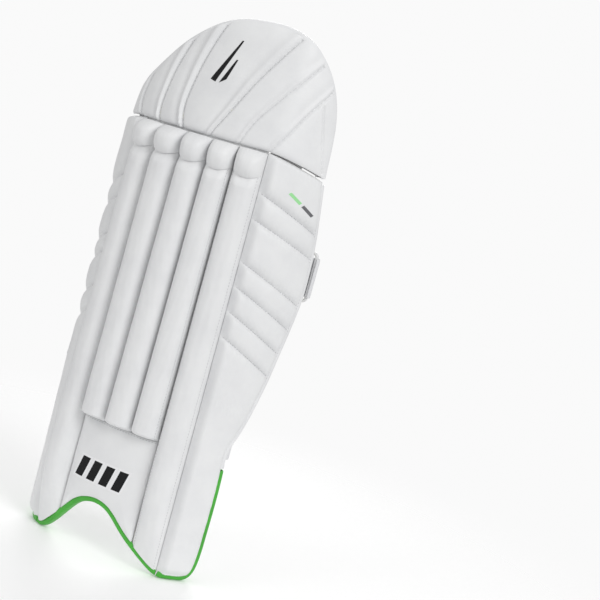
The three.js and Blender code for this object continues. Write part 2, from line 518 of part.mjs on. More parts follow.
  // label sewn to the outside of the tail's end
  const a = run(0.1, off), b = run(0.3, off), ll = Math.hypot(b[0] - a[0], b[1] - a[1]);
  const lu = [(b[0] - a[0]) / ll, (b[1] - a[1]) / ll], lv = [-lu[1], lu[0]];
  const label = new THREE.Shape([[2, 13], [46, 14], [48, 0], [40, -9], [7, -16]].map(([x, y]) => new THREE.Vector2(x, y)));
  const lg = new THREE.ExtrudeGeometry(label, { depth: 0.9, bevelEnabled: false });
  const lm = new THREE.Matrix4().makeBasis(new THREE.Vector3(lu[0], lu[1], 0), new THREE.Vector3(0, 0, 1), new THREE.Vector3(-lv[0], -lv[1], 0));
  const lift = WEB / 2 + 0.9 + 0.9 + 0.9;
  lm.setPosition(a[0] + lift * lv[0], a[1] + lift * lv[1], zc);
  lg.applyMatrix4(lm);
  add(name + '_label', lg, WHITE);
  // anchor patch that holds the strap on the inner wing's lining
  const an = [26, 20, 14, 8].map(d => { const p = plan(eIn + d); return [p.x - 7.2 * p.nx, p.y - 7.2 * p.ny]; });
  add(name + '_strap_anchor', prism(strip(an.reverse(), 1.6), z0, z1), WEBBING);
  return { A, H, B, T: at(-0.35, FOLD_R + 1.1), u, v, zc };
}
const upper = strapSet('upper', UPPER_Z, UPPER_BAR_S, UPPER_BAR_N, [-58, -44, -32, -22, -11]);
const lower = strapSet('lower', LOWER_Z, LOWER_BAR_S, LOWER_BAR_N, [-30, -24, -18, -11]);

// ---------------------------------------------------------------- origin: bottom centre of the whole pad
const box = new THREE.Box3();
group.updateMatrixWorld(true);
group.traverse(o => { if (o.isMesh) box.union(new THREE.Box3().setFromObject(o, true)); });
const centre = box.getCenter(new THREE.Vector3());
group.position.set(-centre.x, -centre.y, -box.min.z);
group.userData = { centre: [centre.x, centre.y, box.min.z], size: box.getSize(new THREE.Vector3()).toArray(), upper, lower };
export default group;
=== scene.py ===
import bpy, bmesh, math
import numpy as np
from mathutils import Vector, Matrix


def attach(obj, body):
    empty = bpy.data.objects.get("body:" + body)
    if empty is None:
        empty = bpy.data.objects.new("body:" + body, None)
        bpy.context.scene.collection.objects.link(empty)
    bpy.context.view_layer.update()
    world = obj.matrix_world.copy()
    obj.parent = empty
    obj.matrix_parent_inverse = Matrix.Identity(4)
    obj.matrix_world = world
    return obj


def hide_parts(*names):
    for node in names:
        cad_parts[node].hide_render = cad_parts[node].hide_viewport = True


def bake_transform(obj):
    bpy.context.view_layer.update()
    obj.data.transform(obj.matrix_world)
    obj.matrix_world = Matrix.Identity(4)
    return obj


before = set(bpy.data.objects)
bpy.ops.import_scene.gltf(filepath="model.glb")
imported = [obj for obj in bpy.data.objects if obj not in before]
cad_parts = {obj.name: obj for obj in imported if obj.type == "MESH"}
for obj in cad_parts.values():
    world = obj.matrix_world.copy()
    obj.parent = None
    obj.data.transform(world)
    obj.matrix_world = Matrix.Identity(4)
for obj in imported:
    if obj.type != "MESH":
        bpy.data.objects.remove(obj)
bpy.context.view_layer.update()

# ------------------------------------------------------------------ the pad's own surface coordinates (mm)
OX, OY = -7.054047, -52.600373
HALF, ZK, ZI, LEAN = 95.0, 553.0, 170.0, 6.0
K1 = 1 / 240.0
SEG = {1: (math.radians(24) / 14, math.radians(34) / 100), -1: (math.radians(22) / 14, math.radians(30) / 60)}


def plan(s):
    s = np.asarray(s, float)
    side = np.where(s < 0, -1.0, 1.0)
    a = np.abs(s)
    k2 = np.where(s < 0, SEG[-1][0], SEG[1][0])
    k3 = np.where(s < 0, SEG[-1][1], SEG[1][1])
    d = np.minimum(a, HALF)
    t = K1 * d
    x, y = np.sin(t) / K1, (1 - np.cos(t)) / K1
    for k, d in ((k2, np.clip(a - HALF, 0, 14)), (k3, np.clip(a - HALF - 14, 0, None))):
        x = x + (np.sin(t + k * d) - np.sin(t)) / k
        y = y + (np.cos(t) - np.cos(t + k * d)) / k
        t = t + k * d
    return side * x, y, side * np.sin(t), -np.cos(t), np.cos(t), side * np.sin(t)


SLANT_S, SLANT_D = [-150, -95, -57, -19, 19, 57, 95], [0, 12, 9, 9, 6.5, 2, 0]


def P(s, z, n, lean=False):
    s, z, n = np.broadcast_arrays(np.asarray(s, float), np.asarray(z, float), np.asarray(n, float))
    x, y, nx, ny, _, _ = plan(s if lean else s + np.interp(s, SLANT_S, SLANT_D) * (z - 80) / 470)
    back = np.where(z > ZK, (z - ZK) * math.tan(math.radians(LEAN)), 0.0) if lean else 0.0
    return np.stack([(x + n * nx + OX), (y + n * ny + back + OY), z], -1) / 1000.0


def lerp(a, b, f):
    return a + (b - a) * f


BOTTOM = [[-112, 0], [-98, 0], [-86, 0], [-78, 3.5], [-70, 10.5], [-62, 19], [-48, 36], [-36, 50], [-26, 58], [-15, 62.5], [-6, 64], [4, 63], [13, 59.5], [23, 52.5], [32, 44.5], [42, 36],
          [52, 28.3], [62, 21], [72, 14], [81, 8], [90, 3], [100, 0], [112, 0], [128, 0]]
OUTER_REAR = [[128, 0], [134, 2.2], [139, 6.5], [143, 13.5], [145.5, 24], [147, 40], [147.5, 65], [148, 111], [147, 148], [145.5, 166], [148, 181], [157, 203], [164, 224], [171, 248], [177.5, 274],
              [183, 301], [188.5, 328], [194, 355], [198, 380], [199, 402], [197.5, 432], [194, 461], [189.5, 486], [184.5, 512], [181, 530.5]]
INNER_REAR = [[112, 0], [122, 1.6], [132, 6.5], [141, 15.5], [147, 28], [151, 45], [154, 70], [157, 111], [159, 155], [160, 210], [161, 280], [161.5, 350], [161, 410], [158, 460], [154, 500], [149, 525], [144, 543]]
HAT = [[-124, 562], [-121.5, 578], [-115.5, 592], [-103, 606], [-84, 627], [-57, 656], [-33, 676], [-7, 692.5], [17, 701], [46, 705], [74, 705], [101, 697.5], [125, 680], [144, 659], [158, 636],
       [167.5, 612], [173, 588], [176.5, 563], [178.5, 543]]
OUTER_SEAMS = [[322, 276], [354, 307], [386, 339], [417, 371], [471, 433], [504, 464]]
INNER_SEAMS = [[302, 262], [335, 294], [380, 340], [405, 364], [454, 410], [484, 438]]
ROLLS = [-76, -38, 0, 38, 76]


def catmull(points, step):
    """Points every `step` along a centripetal curve through the given ones."""
    p = np.array(points, float)
    p = np.vstack([2 * p[0] - p[1], p, 2 * p[-1] - p[-2]])
    out = []
    for i in range(1, len(p) - 2):
        p0, p1, p2, p3 = p[i - 1], p[i], p[i + 1], p[i + 2]
        t1 = np.linalg.norm(p1 - p0) ** .5
        t2 = t1 + np.linalg.norm(p2 - p1) ** .5
        t3 = t2 + np.linalg.norm(p3 - p2) ** .5
        for t in np.linspace(t1, t2, 24, endpoint=False):
            a1 = (t1 - t) / t1 * p0 + t / t1 * p1
            a2 = (t2 - t) / (t2 - t1) * p1 + (t - t1) / (t2 - t1) * p2
            a3 = (t3 - t) / (t3 - t2) * p2 + (t - t2) / (t3 - t2) * p3
            b1 = (t2 - t) / t2 * a1 + t / t2 * a2
            b2 = (t3 - t) / (t3 - t1) * a2 + (t - t1) / (t3 - t1) * a3
            out.append((t2 - t) / (t2 - t1) * b1 + (t - t1) / (t2 - t1) * b2)
    out.append(p[-2])
    return resample(np.array(out), step)


def resample(path, step):
    path = np.asarray(path, float)
    seg = np.linalg.norm(np.diff(path, axis=0), axis=1)
    L = np.concatenate([[0], np.cumsum(seg)])
    n = max(2, int(round(L[-1] / step)) + 1)
    t = np.linspace(0, L[-1], n)
    return np.stack([np.interp(t, L, path[:, k]) for k in range(path.shape[1])], -1)


BOT = catmull(BOTTOM, 1.5)
REAR = {1: catmull(OUTER_REAR, 1.5), -1: catmull(INNER_REAR, 1.5)}
HATP = catmull(HAT, 1.5)


def z_bottom(s):
    return np.interp(s, BOT[:, 0], BOT[:, 1])


def z_knee(s):
    s = np.asarray(s, float)
    a = np.maximum(np.abs(s) - HALF, 0)
    return np.where(s > 0, ZK - 20 * (a / 86) ** 1.2, ZK - 8 * (a / 60) ** 1.2)


def offset_path(path, d):
    """Moves a 2-D path to its left by d."""
    path = np.asarray(path, float)
    t = np.gradient(path, axis=0)
    t /= np.linalg.norm(t, axis=1)[:, None] + 1e-9
    return path + np.stack([-t[:, 1], t[:, 0]], -1) * d


def dist_to(path, s, z, signed=False):
    """Distance in (s, z) from points to a polyline; signed is positive to the right of the path."""
    path = np.asarray(path, float)
    s, z = np.asarray(s, float), np.asarray(z, float)
    best = np.full(s.shape, 1e9)
    side = np.ones(s.shape)
    along = np.zeros(s.shape)
    run = 0.0
    for (ax, ay), (bx, by) in zip(path[:-1], path[1:]):
        dx, dy = bx - ax, by - ay
        l2 = dx * dx + dy * dy
        f = np.clip(((s - ax) * dx + (z - ay) * dy) / l2, 0, 1)
        ex, ey = s - ax - f * dx, z - ay - f * dy
        d = np.hypot(ex, ey)
        m = d < best
        best = np.where(m, d, best)
        side = np.where(m, np.sign(ex * dy - ey * dx + 1e-12), side)
        along = np.where(m, run + f * math.sqrt(l2), along)
        run += math.sqrt(l2)
    return (best * side, along) if signed else best


def wavy(u, v, seed, scale, n=7):
    """Smooth, repeatable noise from -1 to 1 over (u, v) in mm."""
    r = np.random.RandomState(seed)
    out = 0
    for k in range(n):
        a = r.uniform(0, math.tau)
        f = math.tau / scale * r.uniform(.55, 1.7)
        out = out + np.sin(u * f * math.cos(a) + v * f * math.sin(a) + r.uniform(0, math.tau))
    return out / n * 1.6


# ------------------------------------------------------------------ mesh helpers
def new_object(name, verts, faces, mat, uv=None, smooth=True, sharp=50):
    me = bpy.data.meshes.new(name)
    me.from_pydata([tuple(v) for v in np.asarray(verts, float)], [], [tuple(f) for f in faces])
    me.validate()
    bm = bmesh.new()
    bm.from_mesh(me)
    bmesh.ops.remove_doubles(bm, verts=bm.verts, dist=1e-6)
    bmesh.ops.recalc_face_normals(bm, faces=bm.faces)
    bm.to_mesh(me)
    bm.free()
    if smooth:
        me.polygons.foreach_set("use_smooth", [True] * len(me.polygons))
        me.set_sharp_from_angle(angle=math.radians(sharp))
    ob = bpy.data.objects.new(name, me)
    bpy.context.scene.collection.objects.link(ob)
    for m in (mat if isinstance(mat, list) else [mat]):
        me.materials.append(m)
    surface_uv(ob)
    return ob


def surface_uv(ob):
    """UV in metres: across and up, so that weaves run with the pad."""
    me = ob.data
    co = np.zeros(len(me.vertices) * 3)
    me.vertices.foreach_get("co", co)
    co = co.reshape(-1, 3)
    cx = OX / 1000
    u = np.arctan2(co[:, 0] - cx, 0.24 - (co[:, 1] - OY / 1000)) * 0.24
    uv = np.stack([u, co[:, 2]], -1)
    layer = me.uv_layers.new(name="UVMap")
    idx = np.zeros(len(me.loops), int)
    me.loops.foreach_get("vertex_index", idx)
    layer.data.foreach_set("uv", uv[idx].ravel())


def grid_faces(I, J, off=0, flip=False):
    i, j = np.meshgrid(np.arange(I - 1), np.arange(J - 1), indexing="ij")
    a = (i * J + j + off).ravel(); b = ((i + 1) * J + j + off).ravel(); c = ((i + 1) * J + j + 1 + off).ravel(); d = (i * J + j + 1 + off).ravel()
    q = np.stack([a, d, c, b] if flip else [a, b, c, d], -1)
    return q.tolist()


def slab(name, S, Z, nf, nb, mat, lean=False, sharp=50):
    """Closed skin between two offsets over a grid."""
    S, Z = np.asarray(S, float), np.asarray(Z, float)
    I, J = S.shape
    F, B = P(S, Z, nf, lean), P(S, Z, nb, lean)
    V = np.vstack([F.reshape(-1, 3), B.reshape(-1, 3)])
    faces = grid_faces(I, J) + grid_faces(I, J, I * J, True)
    rim = [i * J for i in range(I)] + [(I - 1) * J + j for j in range(1, J)] + [i * J + J - 1 for i in range(I - 2, -1, -1)] + [j for j in range(J - 2, 0, -1)]
    for k in range(len(rim)):
        a, b = rim[k], rim[(k + 1) % len(rim)]
        faces.append([b, a, a + I * J, b + I * J])
    return new_object(name, V, faces, mat, sharp=sharp)


def pillow(name, S, Z, nf, mat, lean=False, sharp=50):
    """Closed form with a domed front and a flat back that joins the two side columns."""
    S, Z = np.asarray(S, float), np.asarray(Z, float)
    I, J = S.shape
    V = P(S, Z, nf, lean).reshape(-1, 3)
    faces = grid_faces(I, J)
    for j in range(J - 1):
        faces.append([j, j + 1, (I - 1) * J + j + 1, (I - 1) * J + j])
    faces.append([i * J for i in range(I)])
    faces.append([i * J + J - 1 for i in range(I - 1, -1, -1)])
    return new_object(name, V, faces, mat, sharp=sharp)


def sweep(name, rings, mat, closed=False, sharp=50):
    """Skin through a list of rings of points, capped unless closed."""
    R = np.asarray(rings, float)
    K, M = R.shape[:2]
    V = R.reshape(-1, 3)
    faces = []
    for k in range(K if closed else K - 1):
        k2 = (k + 1) % K
        for m in range(M):
            m2 = (m + 1) % M
            faces.append([k * M + m, k * M + m2, k2 * M + m2, k2 * M + m])
    if not closed:
        faces.append(list(range(M)))
        faces.append([(K - 1) * M + m for m in range(M - 1, -1, -1)])
    return new_object(name, V, faces, mat, sharp=sharp)


def place(ob, body, slot_name, *nodes):
    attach(ob, body)
    if nodes:
        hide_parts(*nodes)
    return ob


def smoothstep(x):
    x = np.clip(x, 0, 1)
    return x * x * (3 - 2 * x)


# ------------------------------------------------------------------ materials
def nodes_of(name):
    m = bpy.data.materials.new(name)
    m.use_nodes = True
    nt = m.node_tree
    b = nt.nodes["Principled BSDF"]
    return m, nt, b


def link(nt, a, b):
    nt.links.new(a, b)


def node(nt, kind, **kw):
    n = nt.nodes.new(kind)
    for k, v in kw.items():
        if k in n.inputs.keys():
            n.inputs[k].default_value = v
        else:
            setattr(n, k, v)
    return n


def ramp(nt, fac, stops):
    r = nt.nodes.new("ShaderNodeValToRGB")
    el = r.color_ramp.elements
    el[0].position, el[0].color = stops[0][0], (*stops[0][1], 1)
    el[1].position, el[1].color = stops[-1][0], (*stops[-1][1], 1)
    for p, c in stops[1:-1]:
        e = el.new(p)
        e.color = (*c, 1)
    link(nt, fac, r.inputs["Fac"])
    return r.outputs["Color"]


def leather(name, base, dark, rough=0.5, grain=1100.0, depth=0.00008, coat=0.0, wrinkle=0.00025):
    """Synthetic leather: pebble grain, finer pores, soft mottling, slightly glossier high spots."""
    m, nt, b = nodes_of(name)
    tc = node(nt, "ShaderNodeTexCoord")
    obj = tc.outputs["Object"]
    mott = node(nt, "ShaderNodeTexNoise", Scale=22.0, Detail=4.0, Roughness=0.6)
    link(nt, obj, mott.inputs["Vector"])
    link(nt, ramp(nt, mott.outputs["Fac"], [(0.3, dark), (0.62, base)]), b.inputs["Base Color"])
    vor = node(nt, "ShaderNodeTexVoronoi", Scale=grain)
    vor.feature = "SMOOTH_F1"
    link(nt, obj, vor.inputs["Vector"])
    fine = node(nt, "ShaderNodeTexNoise", Scale=2600.0, Detail=3.0)
    link(nt, obj, fine.inputs["Vector"])
    crease = node(nt, "ShaderNodeTexNoise", Scale=95.0, Detail=5.0, Roughness=0.55, Distortion=0.6)
    link(nt, obj, crease.inputs["Vector"])
    rr = node(nt, "ShaderNodeMapRange")
    rr.inputs["To Min"].default_value = rough - 0.07
    rr.inputs["To Max"].default_value = rough + 0.1
    link(nt, mott.outputs["Fac"], rr.inputs["Value"])
    link(nt, rr.outputs["Result"], b.inputs["Roughness"])
    b1 = node(nt, "ShaderNodeBump", Strength=0.6, Distance=depth)
    link(nt, vor.outputs["Distance"], b1.inputs["Height"])
    b2 = node(nt, "ShaderNodeBump", Strength=0.35, Distance=depth * 0.5)
    link(nt, fine.outputs["Fac"], b2.inputs["Height"])
    link(nt, b1.outputs["Normal"], b2.inputs["Normal"])
    b3 = node(nt, "ShaderNodeBump", Strength=0.6, Distance=wrinkle)
    link(nt, crease.outputs["Fac"], b3.inputs["Height"])
    link(nt, b2.outputs["Normal"], b3.inputs["Normal"])
    link(nt, b3.outputs["Normal"], b.inputs["Normal"])
    b.inputs["Specular IOR Level"].default_value = 0.42
    if coat:
        b.inputs["Coat Weight"].default_value = coat
        b.inputs["Coat Roughness"].default_value = 0.35
    return m


def uv_waves(nt, scale_u, scale_v, angle=0.0):
    tc = node(nt, "ShaderNodeTexCoord")
    mp = node(nt, "ShaderNodeMapping")
    mp.inputs["Scale"].default_value = (scale_u, scale_v, 1)
    mp.inputs["Rotation"].default_value = (0, 0, angle)
    link(nt, tc.outputs["UV"], mp.inputs["Vector"])
    return tc, mp


def weave(name, base, dark, pitch_mm=1.6, rough=0.85, depth=0.0003, twill=True, sheen=0.25, angle=0.0, fuzz=0.5):
    """Woven cloth from two crossed waves, with thread-to-thread colour change."""
    m, nt, b = nodes_of(name)
    k = 1000.0 / pitch_mm
    tc, mp = uv_waves(nt, k, k, angle)
    w1 = node(nt, "ShaderNodeTexWave", Scale=1 / 6.2832 * 3.14159, Distortion=0.6)
    w1.inputs["Detail"].default_value = 1.0
    w1.bands_direction = "X"
    w2 = node(nt, "ShaderNodeTexWave", Scale=1 / 6.2832 * 3.14159, Distortion=0.6)
    w2.inputs["Detail"].default_value = 1.0
    w2.bands_direction = "DIAGONAL" if twill else "Y"
    link(nt, mp.outputs["Vector"], w1.inputs["Vector"])
    link(nt, mp.outputs["Vector"], w2.inputs["Vector"])
    mul = node(nt, "ShaderNodeMath")
    mul.operation = "MULTIPLY"
    link(nt, w1.outputs["Fac"], mul.inputs[0])
    link(nt, w2.outputs["Fac"], mul.inputs[1])
    ns = node(nt, "ShaderNodeTexNoise", Scale=1500.0, Detail=3.0)
    link(nt, tc.outputs["Object"], ns.inputs["Vector"])
    add = node(nt, "ShaderNodeMath")
    add.operation = "MULTIPLY_ADD"
    link(nt, ns.outputs["Fac"], add.inputs[0])
    add.inputs[1].default_value = fuzz
    link(nt, mul.outputs[0], add.inputs[2])
    link(nt, ramp(nt, add.outputs[0], [(0.1, dark), (0.75, base)]), b.inputs["Base Color"])
    bp = node(nt, "ShaderNodeBump", Strength=0.75, Distance=depth)
    link(nt, add.outputs[0], bp.inputs["Height"])
    link(nt, bp.outputs["Normal"], b.inputs["Normal"])
    b.inputs["Roughness"].default_value = rough
    b.inputs["Sheen Weight"].default_value = sheen
    b.inputs["Sheen Roughness"].default_value = 0.5
    b.inputs["Specular IOR Level"].default_value = 0.25
    return m


def towel(name, base, dark, scale=650.0, depth=0.0007, rough=0.95):
    """Looped, brushed cloth in short ribs."""
    m, nt, b = nodes_of(name)
    tc, mp = uv_waves(nt, 1000 / 2.3, 1000 / 1.7)
    vor = node(nt, "ShaderNodeTexVoronoi", Scale=1.0)
    link(nt, mp.outputs["Vector"], vor.inputs["Vector"])
    ns = node(nt, "ShaderNodeTexNoise", Scale=scale, Detail=4.0, Roughness=0.7)
    link(nt, tc.outputs["Object"], ns.inputs["Vector"])
    big = node(nt, "ShaderNodeTexNoise", Scale=30.0, Detail=3.0)
    link(nt, tc.outputs["Object"], big.inputs["Vector"])
    mx = node(nt, "ShaderNodeMath")
    mx.operation = "MULTIPLY_ADD"
    link(nt, vor.outputs["Distance"], mx.inputs[0])
    mx.inputs[1].default_value = -0.8
    link(nt, ns.outputs["Fac"], mx.inputs[2])
    ad = node(nt, "ShaderNodeMath")
    ad.operation = "MULTIPLY_ADD"
    link(nt, big.outputs["Fac"], ad.inputs[0])
    ad.inputs[1].default_value = 0.35
    link(nt, mx.outputs[0], ad.inputs[2])
    link(nt, ramp(nt, ad.outputs[0], [(-0.1, dark), (0.55, base)]), b.inputs["Base Color"])
    bp = node(nt, "ShaderNodeBump", Strength=0.7, Distance=depth)
    link(nt, mx.outputs[0], bp.inputs["Height"])
    link(nt, bp.outputs["Normal"], b.inputs["Normal"])
    b.inputs["Roughness"].default_value = rough
    b.inputs["Sheen Weight"].default_value = 0.5
    b.inputs["Sheen Roughness"].default_value = 0.6
    b.inputs["Specular IOR Level"].default_value = 0.15
    return m


def hatch(name, ink, cloth, pitch_mm, angle, share=0.5, depth=0.00015):
    """Printed hatching: parallel lines of ink on cloth, broken up a little."""
    m, nt, b = nodes_of(name)
    tc, mp = uv_waves(nt, 1000.0 / pitch_mm, 1000.0 / pitch_mm, angle)
    w = node(nt, "ShaderNodeTexWave", Scale=0.5, Distortion=0.5)
    w.inputs["Detail"].default_value = 2.0
    w.bands_direction = "X"
    link(nt, mp.outputs["Vector"], w.inputs["Vector"])
    link(nt, ramp(nt, w.outputs["Fac"], [(share - 0.12, cloth), (share + 0.12, ink)]), b.inputs["Base Color"])
    ns = node(nt, "ShaderNodeTexNoise", Scale=1400.0, Detail=3.0)
    link(nt, tc.outputs["Object"], ns.inputs["Vector"])
    bp = node(nt, "ShaderNodeBump", Strength=0.5, Distance=depth)
    link(nt, ns.outputs["Fac"], bp.inputs["Height"])
    link(nt, bp.outputs["Normal"], b.inputs["Normal"])
    b.inputs["Roughness"].default_value = 0.75
    return m


def grainy(name, base, dark, scale, rough, depth, stretch=(1, 1, 1)):
    m, nt, b = nodes_of(name)
    tc = node(nt, "ShaderNodeTexCoord")
    mp = node(nt, "ShaderNodeMapping")
    mp.inputs["Scale"].default_value = stretch
    link(nt, tc.outputs["Object"], mp.inputs["Vector"])
    ns = node(nt, "ShaderNodeTexNoise", Scale=scale, Detail=5.0, Roughness=0.65)
    link(nt, mp.outputs["Vector"], ns.inputs["Vector"])
    link(nt, ramp(nt, ns.outputs["Fac"], [(0.3, dark), (0.7, base)]), b.inputs["Base Color"])
    bp = node(nt, "ShaderNodeBump", Strength=0.6, Distance=depth)
    link(nt, ns.outputs["Fac"], bp.inputs["Height"])
    link(nt, bp.outputs["Normal"], b.inputs["Normal"])
    b.inputs["Roughness"].default_value = rough
    return m


M_WHITE = leather("white_leather", (0.80, 0.805, 0.81), (0.755, 0.76, 0.77))
M_WHITE2 = leather("white_binding_leather", (0.80, 0.805, 0.812), (0.75, 0.755, 0.765), rough=0.46, grain=1300)
M_GREEN = leather("green_leather", (0.065, 0.42, 0.04), (0.05, 0.34, 0.03), rough=0.42, grain=1300)
M_CREAM = towel("cream_cushion_cloth", (0.90, 0.905, 0.83), (0.80, 0.81, 0.72))
M_LINING = weave("white_lining_cloth", (0.88, 0.88, 0.90), (0.79, 0.79, 0.81), pitch_mm=0.9, depth=0.0001, twill=False, fuzz=0.35)
M_WEB = weave("white_webbing", (0.85, 0.855, 0.87), (0.60, 0.605, 0.63), pitch_mm=2.1, depth=0.0006, angle=math.radians(0), fuzz=0.3)
M_EDGE = weave("webbing_selvedge", (0.85, 0.855, 0.87), (0.7, 0.7, 0.72), pitch_mm=1.1, depth=0.0003)
M_LOOP = towel("loop_tape", (0.82, 0.825, 0.84), (0.7, 0.7, 0.72), scale=900, depth=0.0005)
M_HOOK = grainy("hook_tape", (0.75, 0.75, 0.76), (0.5, 0.5, 0.52), 1500, 0.6, 0.0005)
M_FOAM = grainy("foam", (0.85, 0.84, 0.78), (0.7, 0.69, 0.63), 900, 0.9, 0.0004)
M_CANE = grainy("cane", (0.62, 0.44, 0.22), (0.42, 0.27, 0.11), 60, 0.5, 0.0004, (18, 18, 1))
M_THREAD = grainy("white_thread", (0.66, 0.66, 0.67), (0.50, 0.50, 0.52), 2500, 0.7, 0.0002)
M_GTHREAD = grainy("green_thread", (0.07, 0.36, 0.05), (0.04, 0.24, 0.03), 2500, 0.7, 0.0002)
M_BLACK = grainy("black_print", (0.012, 0.012, 0.013), (0.02, 0.02, 0.021), 700, 0.42, 0.00006)
M_BLACK.node_tree.nodes["Principled BSDF"].inputs["Specular IOR Level"].default_value = 0.08
M_GREY = grainy("grey_print", (0.16, 0.16, 0.17), (0.11, 0.11, 0.12), 700, 0.45, 0.00006)
M_WPRINT = grainy("white_print", (0.86, 0.86, 0.87), (0.8, 0.8, 0.81), 700, 0.42, 0.00006)
M_LGREEN = grainy("light_green_print", (0.36, 0.78, 0.36), (0.31, 0.70, 0.31), 700, 0.5, 0.00006)
M_PALE = grainy("pale_green_label", (0.66, 0.86, 0.68), (0.58, 0.80, 0.60), 1200, 0.6, 0.0001)
M_GLINE = grainy("green_label_line", (0.10, 0.36, 0.12), (0.08, 0.28, 0.09), 900, 0.6, 0.0001)
M_HATCH = hatch("green_hatch", (0.36, 0.74, 0.38), (0.80, 0.80, 0.82), 2.6, math.radians(35))
M_HATCH2 = hatch("green_hatch_steep", (0.36, 0.74, 0.38), (0.80, 0.80, 0.82), 2.2, math.radians(-50))
M_PLASTIC = grainy("moulded_nylon", (0.80, 0.80, 0.80), (0.74, 0.74, 0.75), 240, 0.32, 0.00003)

# internal CAD pieces keep their shape and get real finishes
for nm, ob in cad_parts.items():
    mat = None
    if nm.startswith("cane_rod"):
        mat = M_CANE
    elif nm.startswith("roll_core") or nm in ("shin_board",):
        mat = M_FOAM
    if mat:
        for k in range(len(ob.material_slots)):
            ob.material_slots[k].material = mat

# ------------------------------------------------------------------ rolls and knee rolls
A = np.linspace(-1, 1, 45)
A = np.sign(A) * np.abs(A) ** 0.82


def dome(a, p=2.5, q=0.56):
    return np.maximum(0, 1 - np.abs(a) ** p) ** q


def z_bottom_in(s, inset=6.2):
    """Height of the line `inset` inside the bottom outline."""
    s = np.asarray(s, float)
    g = np.linspace(-110, 126, 237)
    slope = np.gradient(z_bottom(g), g)
    zin = z_bottom(g) + inset * np.sqrt(1 + slope ** 2)
    return np.interp(s, g, zin)


roll_stitches = []
for k, sc in enumerate(ROLLS):
    ends = abs(sc) > 70
    hw = 18.85
    smax = sc + A * hw
    zt = 517.0 + 6.5 * np.abs(A) ** 2.2            # rolls run up under the knee roll's rounded foot
    zb = z_bottom_in(smax) if ends else np.full_like(A, ZI + 0.4)
    J = 190 if ends else 150
    f = np.linspace(0, 1, J)
    f = 0.5 - 0.5 * np.cos(np.pi * f) * (0.35 + 0.65 * np.abs(np.cos(np.pi * f)) ** 0.2)
    f = (f - f[0]) / (f[-1] - f[0])
    S = np.repeat(smax[:, None], J, 1)
    Z = zb[:, None] + (zt - zb)[:, None] * f[None, :]
    du, dd = (Z - zb[:, None]), (zt[:, None] - Z)
    top = smoothstep(dd / 13.0)
    low = smoothstep(du / (95.0 if ends else 6.0)) ** (0.5 if ends else 0.5)
    H = 23.4 * (0.78 + 0.22 * top) * ((0.20 + 0.80 * low) if ends else (0.42 + 0.58 * low))
    H = H * np.where(dd < 1e-6, 0.9, 1.0)
    H = H * (1 + 0.012 * wavy(S, Z, 11 + k, 70)) + 0.18 * wavy(S * 2.5, Z, 41 + k, 26)
    # fine puckers beside the stitched channels
    side = np.exp(-((1 - np.abs(A[:, None])) * hw / 3.2) ** 2)
    pk = 0.32 * side * np.sin(Z / 8.5 * math.tau + 2.0 * wavy(Z, Z * 0 + 9 * k, 3 + k, 60))
    n = 2.45 + H * dome(A, 2.7, 0.5)[:, None] + pk * dome(A, 6)[:, None]
    for col in {3: [39], 4: [5, 39]}.get(k, []):
        XX = P(S[col], Z[col], n[col] + 0.05)
        YY = P(S[col + 1], Z[col + 1], n[col + 1] + 0.05)
        side_v, long_v = YY - XX, np.gradient(XX, axis=0)
        NN = np.cross(side_v, long_v)
        roll_stitches.append((f"roll_{k+1}_stitching_{col}", XX[6:-6], (NN / (np.linalg.norm(NN, axis=1)[:, None] + 1e-12))[6:-6]))
    ob = pillow(f"roll_{k+1}", S, Z, n, M_WHITE)
    place(ob, "shin", "facing", f"roll_cover_{k+1}")

    # knee roll: a short bulging cap; its foot is rounded and its top is drawn into the knee seam
    zb2 = zt + 0.04
    zt2 = np.full_like(A, 551.6) - 0.9 * np.abs(A) ** 3
    J = 64
    f = np.linspace(0, 1, J)
    S = np.repeat((sc + A * (hw - 0.05))[:, None], J, 1)
    Z = zb2[:, None] + (zt2 - zb2)[:, None] * f[None, :]
    prof = np.maximum(0, 1 - np.abs(2 * f - 1 + 0.04 * (1 - f)) ** 2.4) ** 0.9
    rise = np.where(f < 0.5, 0.68 + 0.32 * prof, 0.34 + 0.66 * prof)
    gather = 0.5 * np.exp(-((zt2[:, None] - Z) / 5.5)) * np.sin(S / 4.1 * math.tau / 1.25 + k) + 0.25 * np.exp(-((Z - zb2[:, None]) / 4.0)) * np.sin(S / 3.3 * math.tau / 1.3)
    n = 2.5 + (27.6 * rise[None, :] * (1 + 0.012 * wavy(S, Z, 71 + k, 22)) + gather) * dome(A, 2.7, 0.5)[:, None]
    ob = pillow(f"knee_roll_pad_{k+1}", S, Z, n, M_WHITE)
    place(ob, "shin", "facing", f"knee_roll_{k+1}")


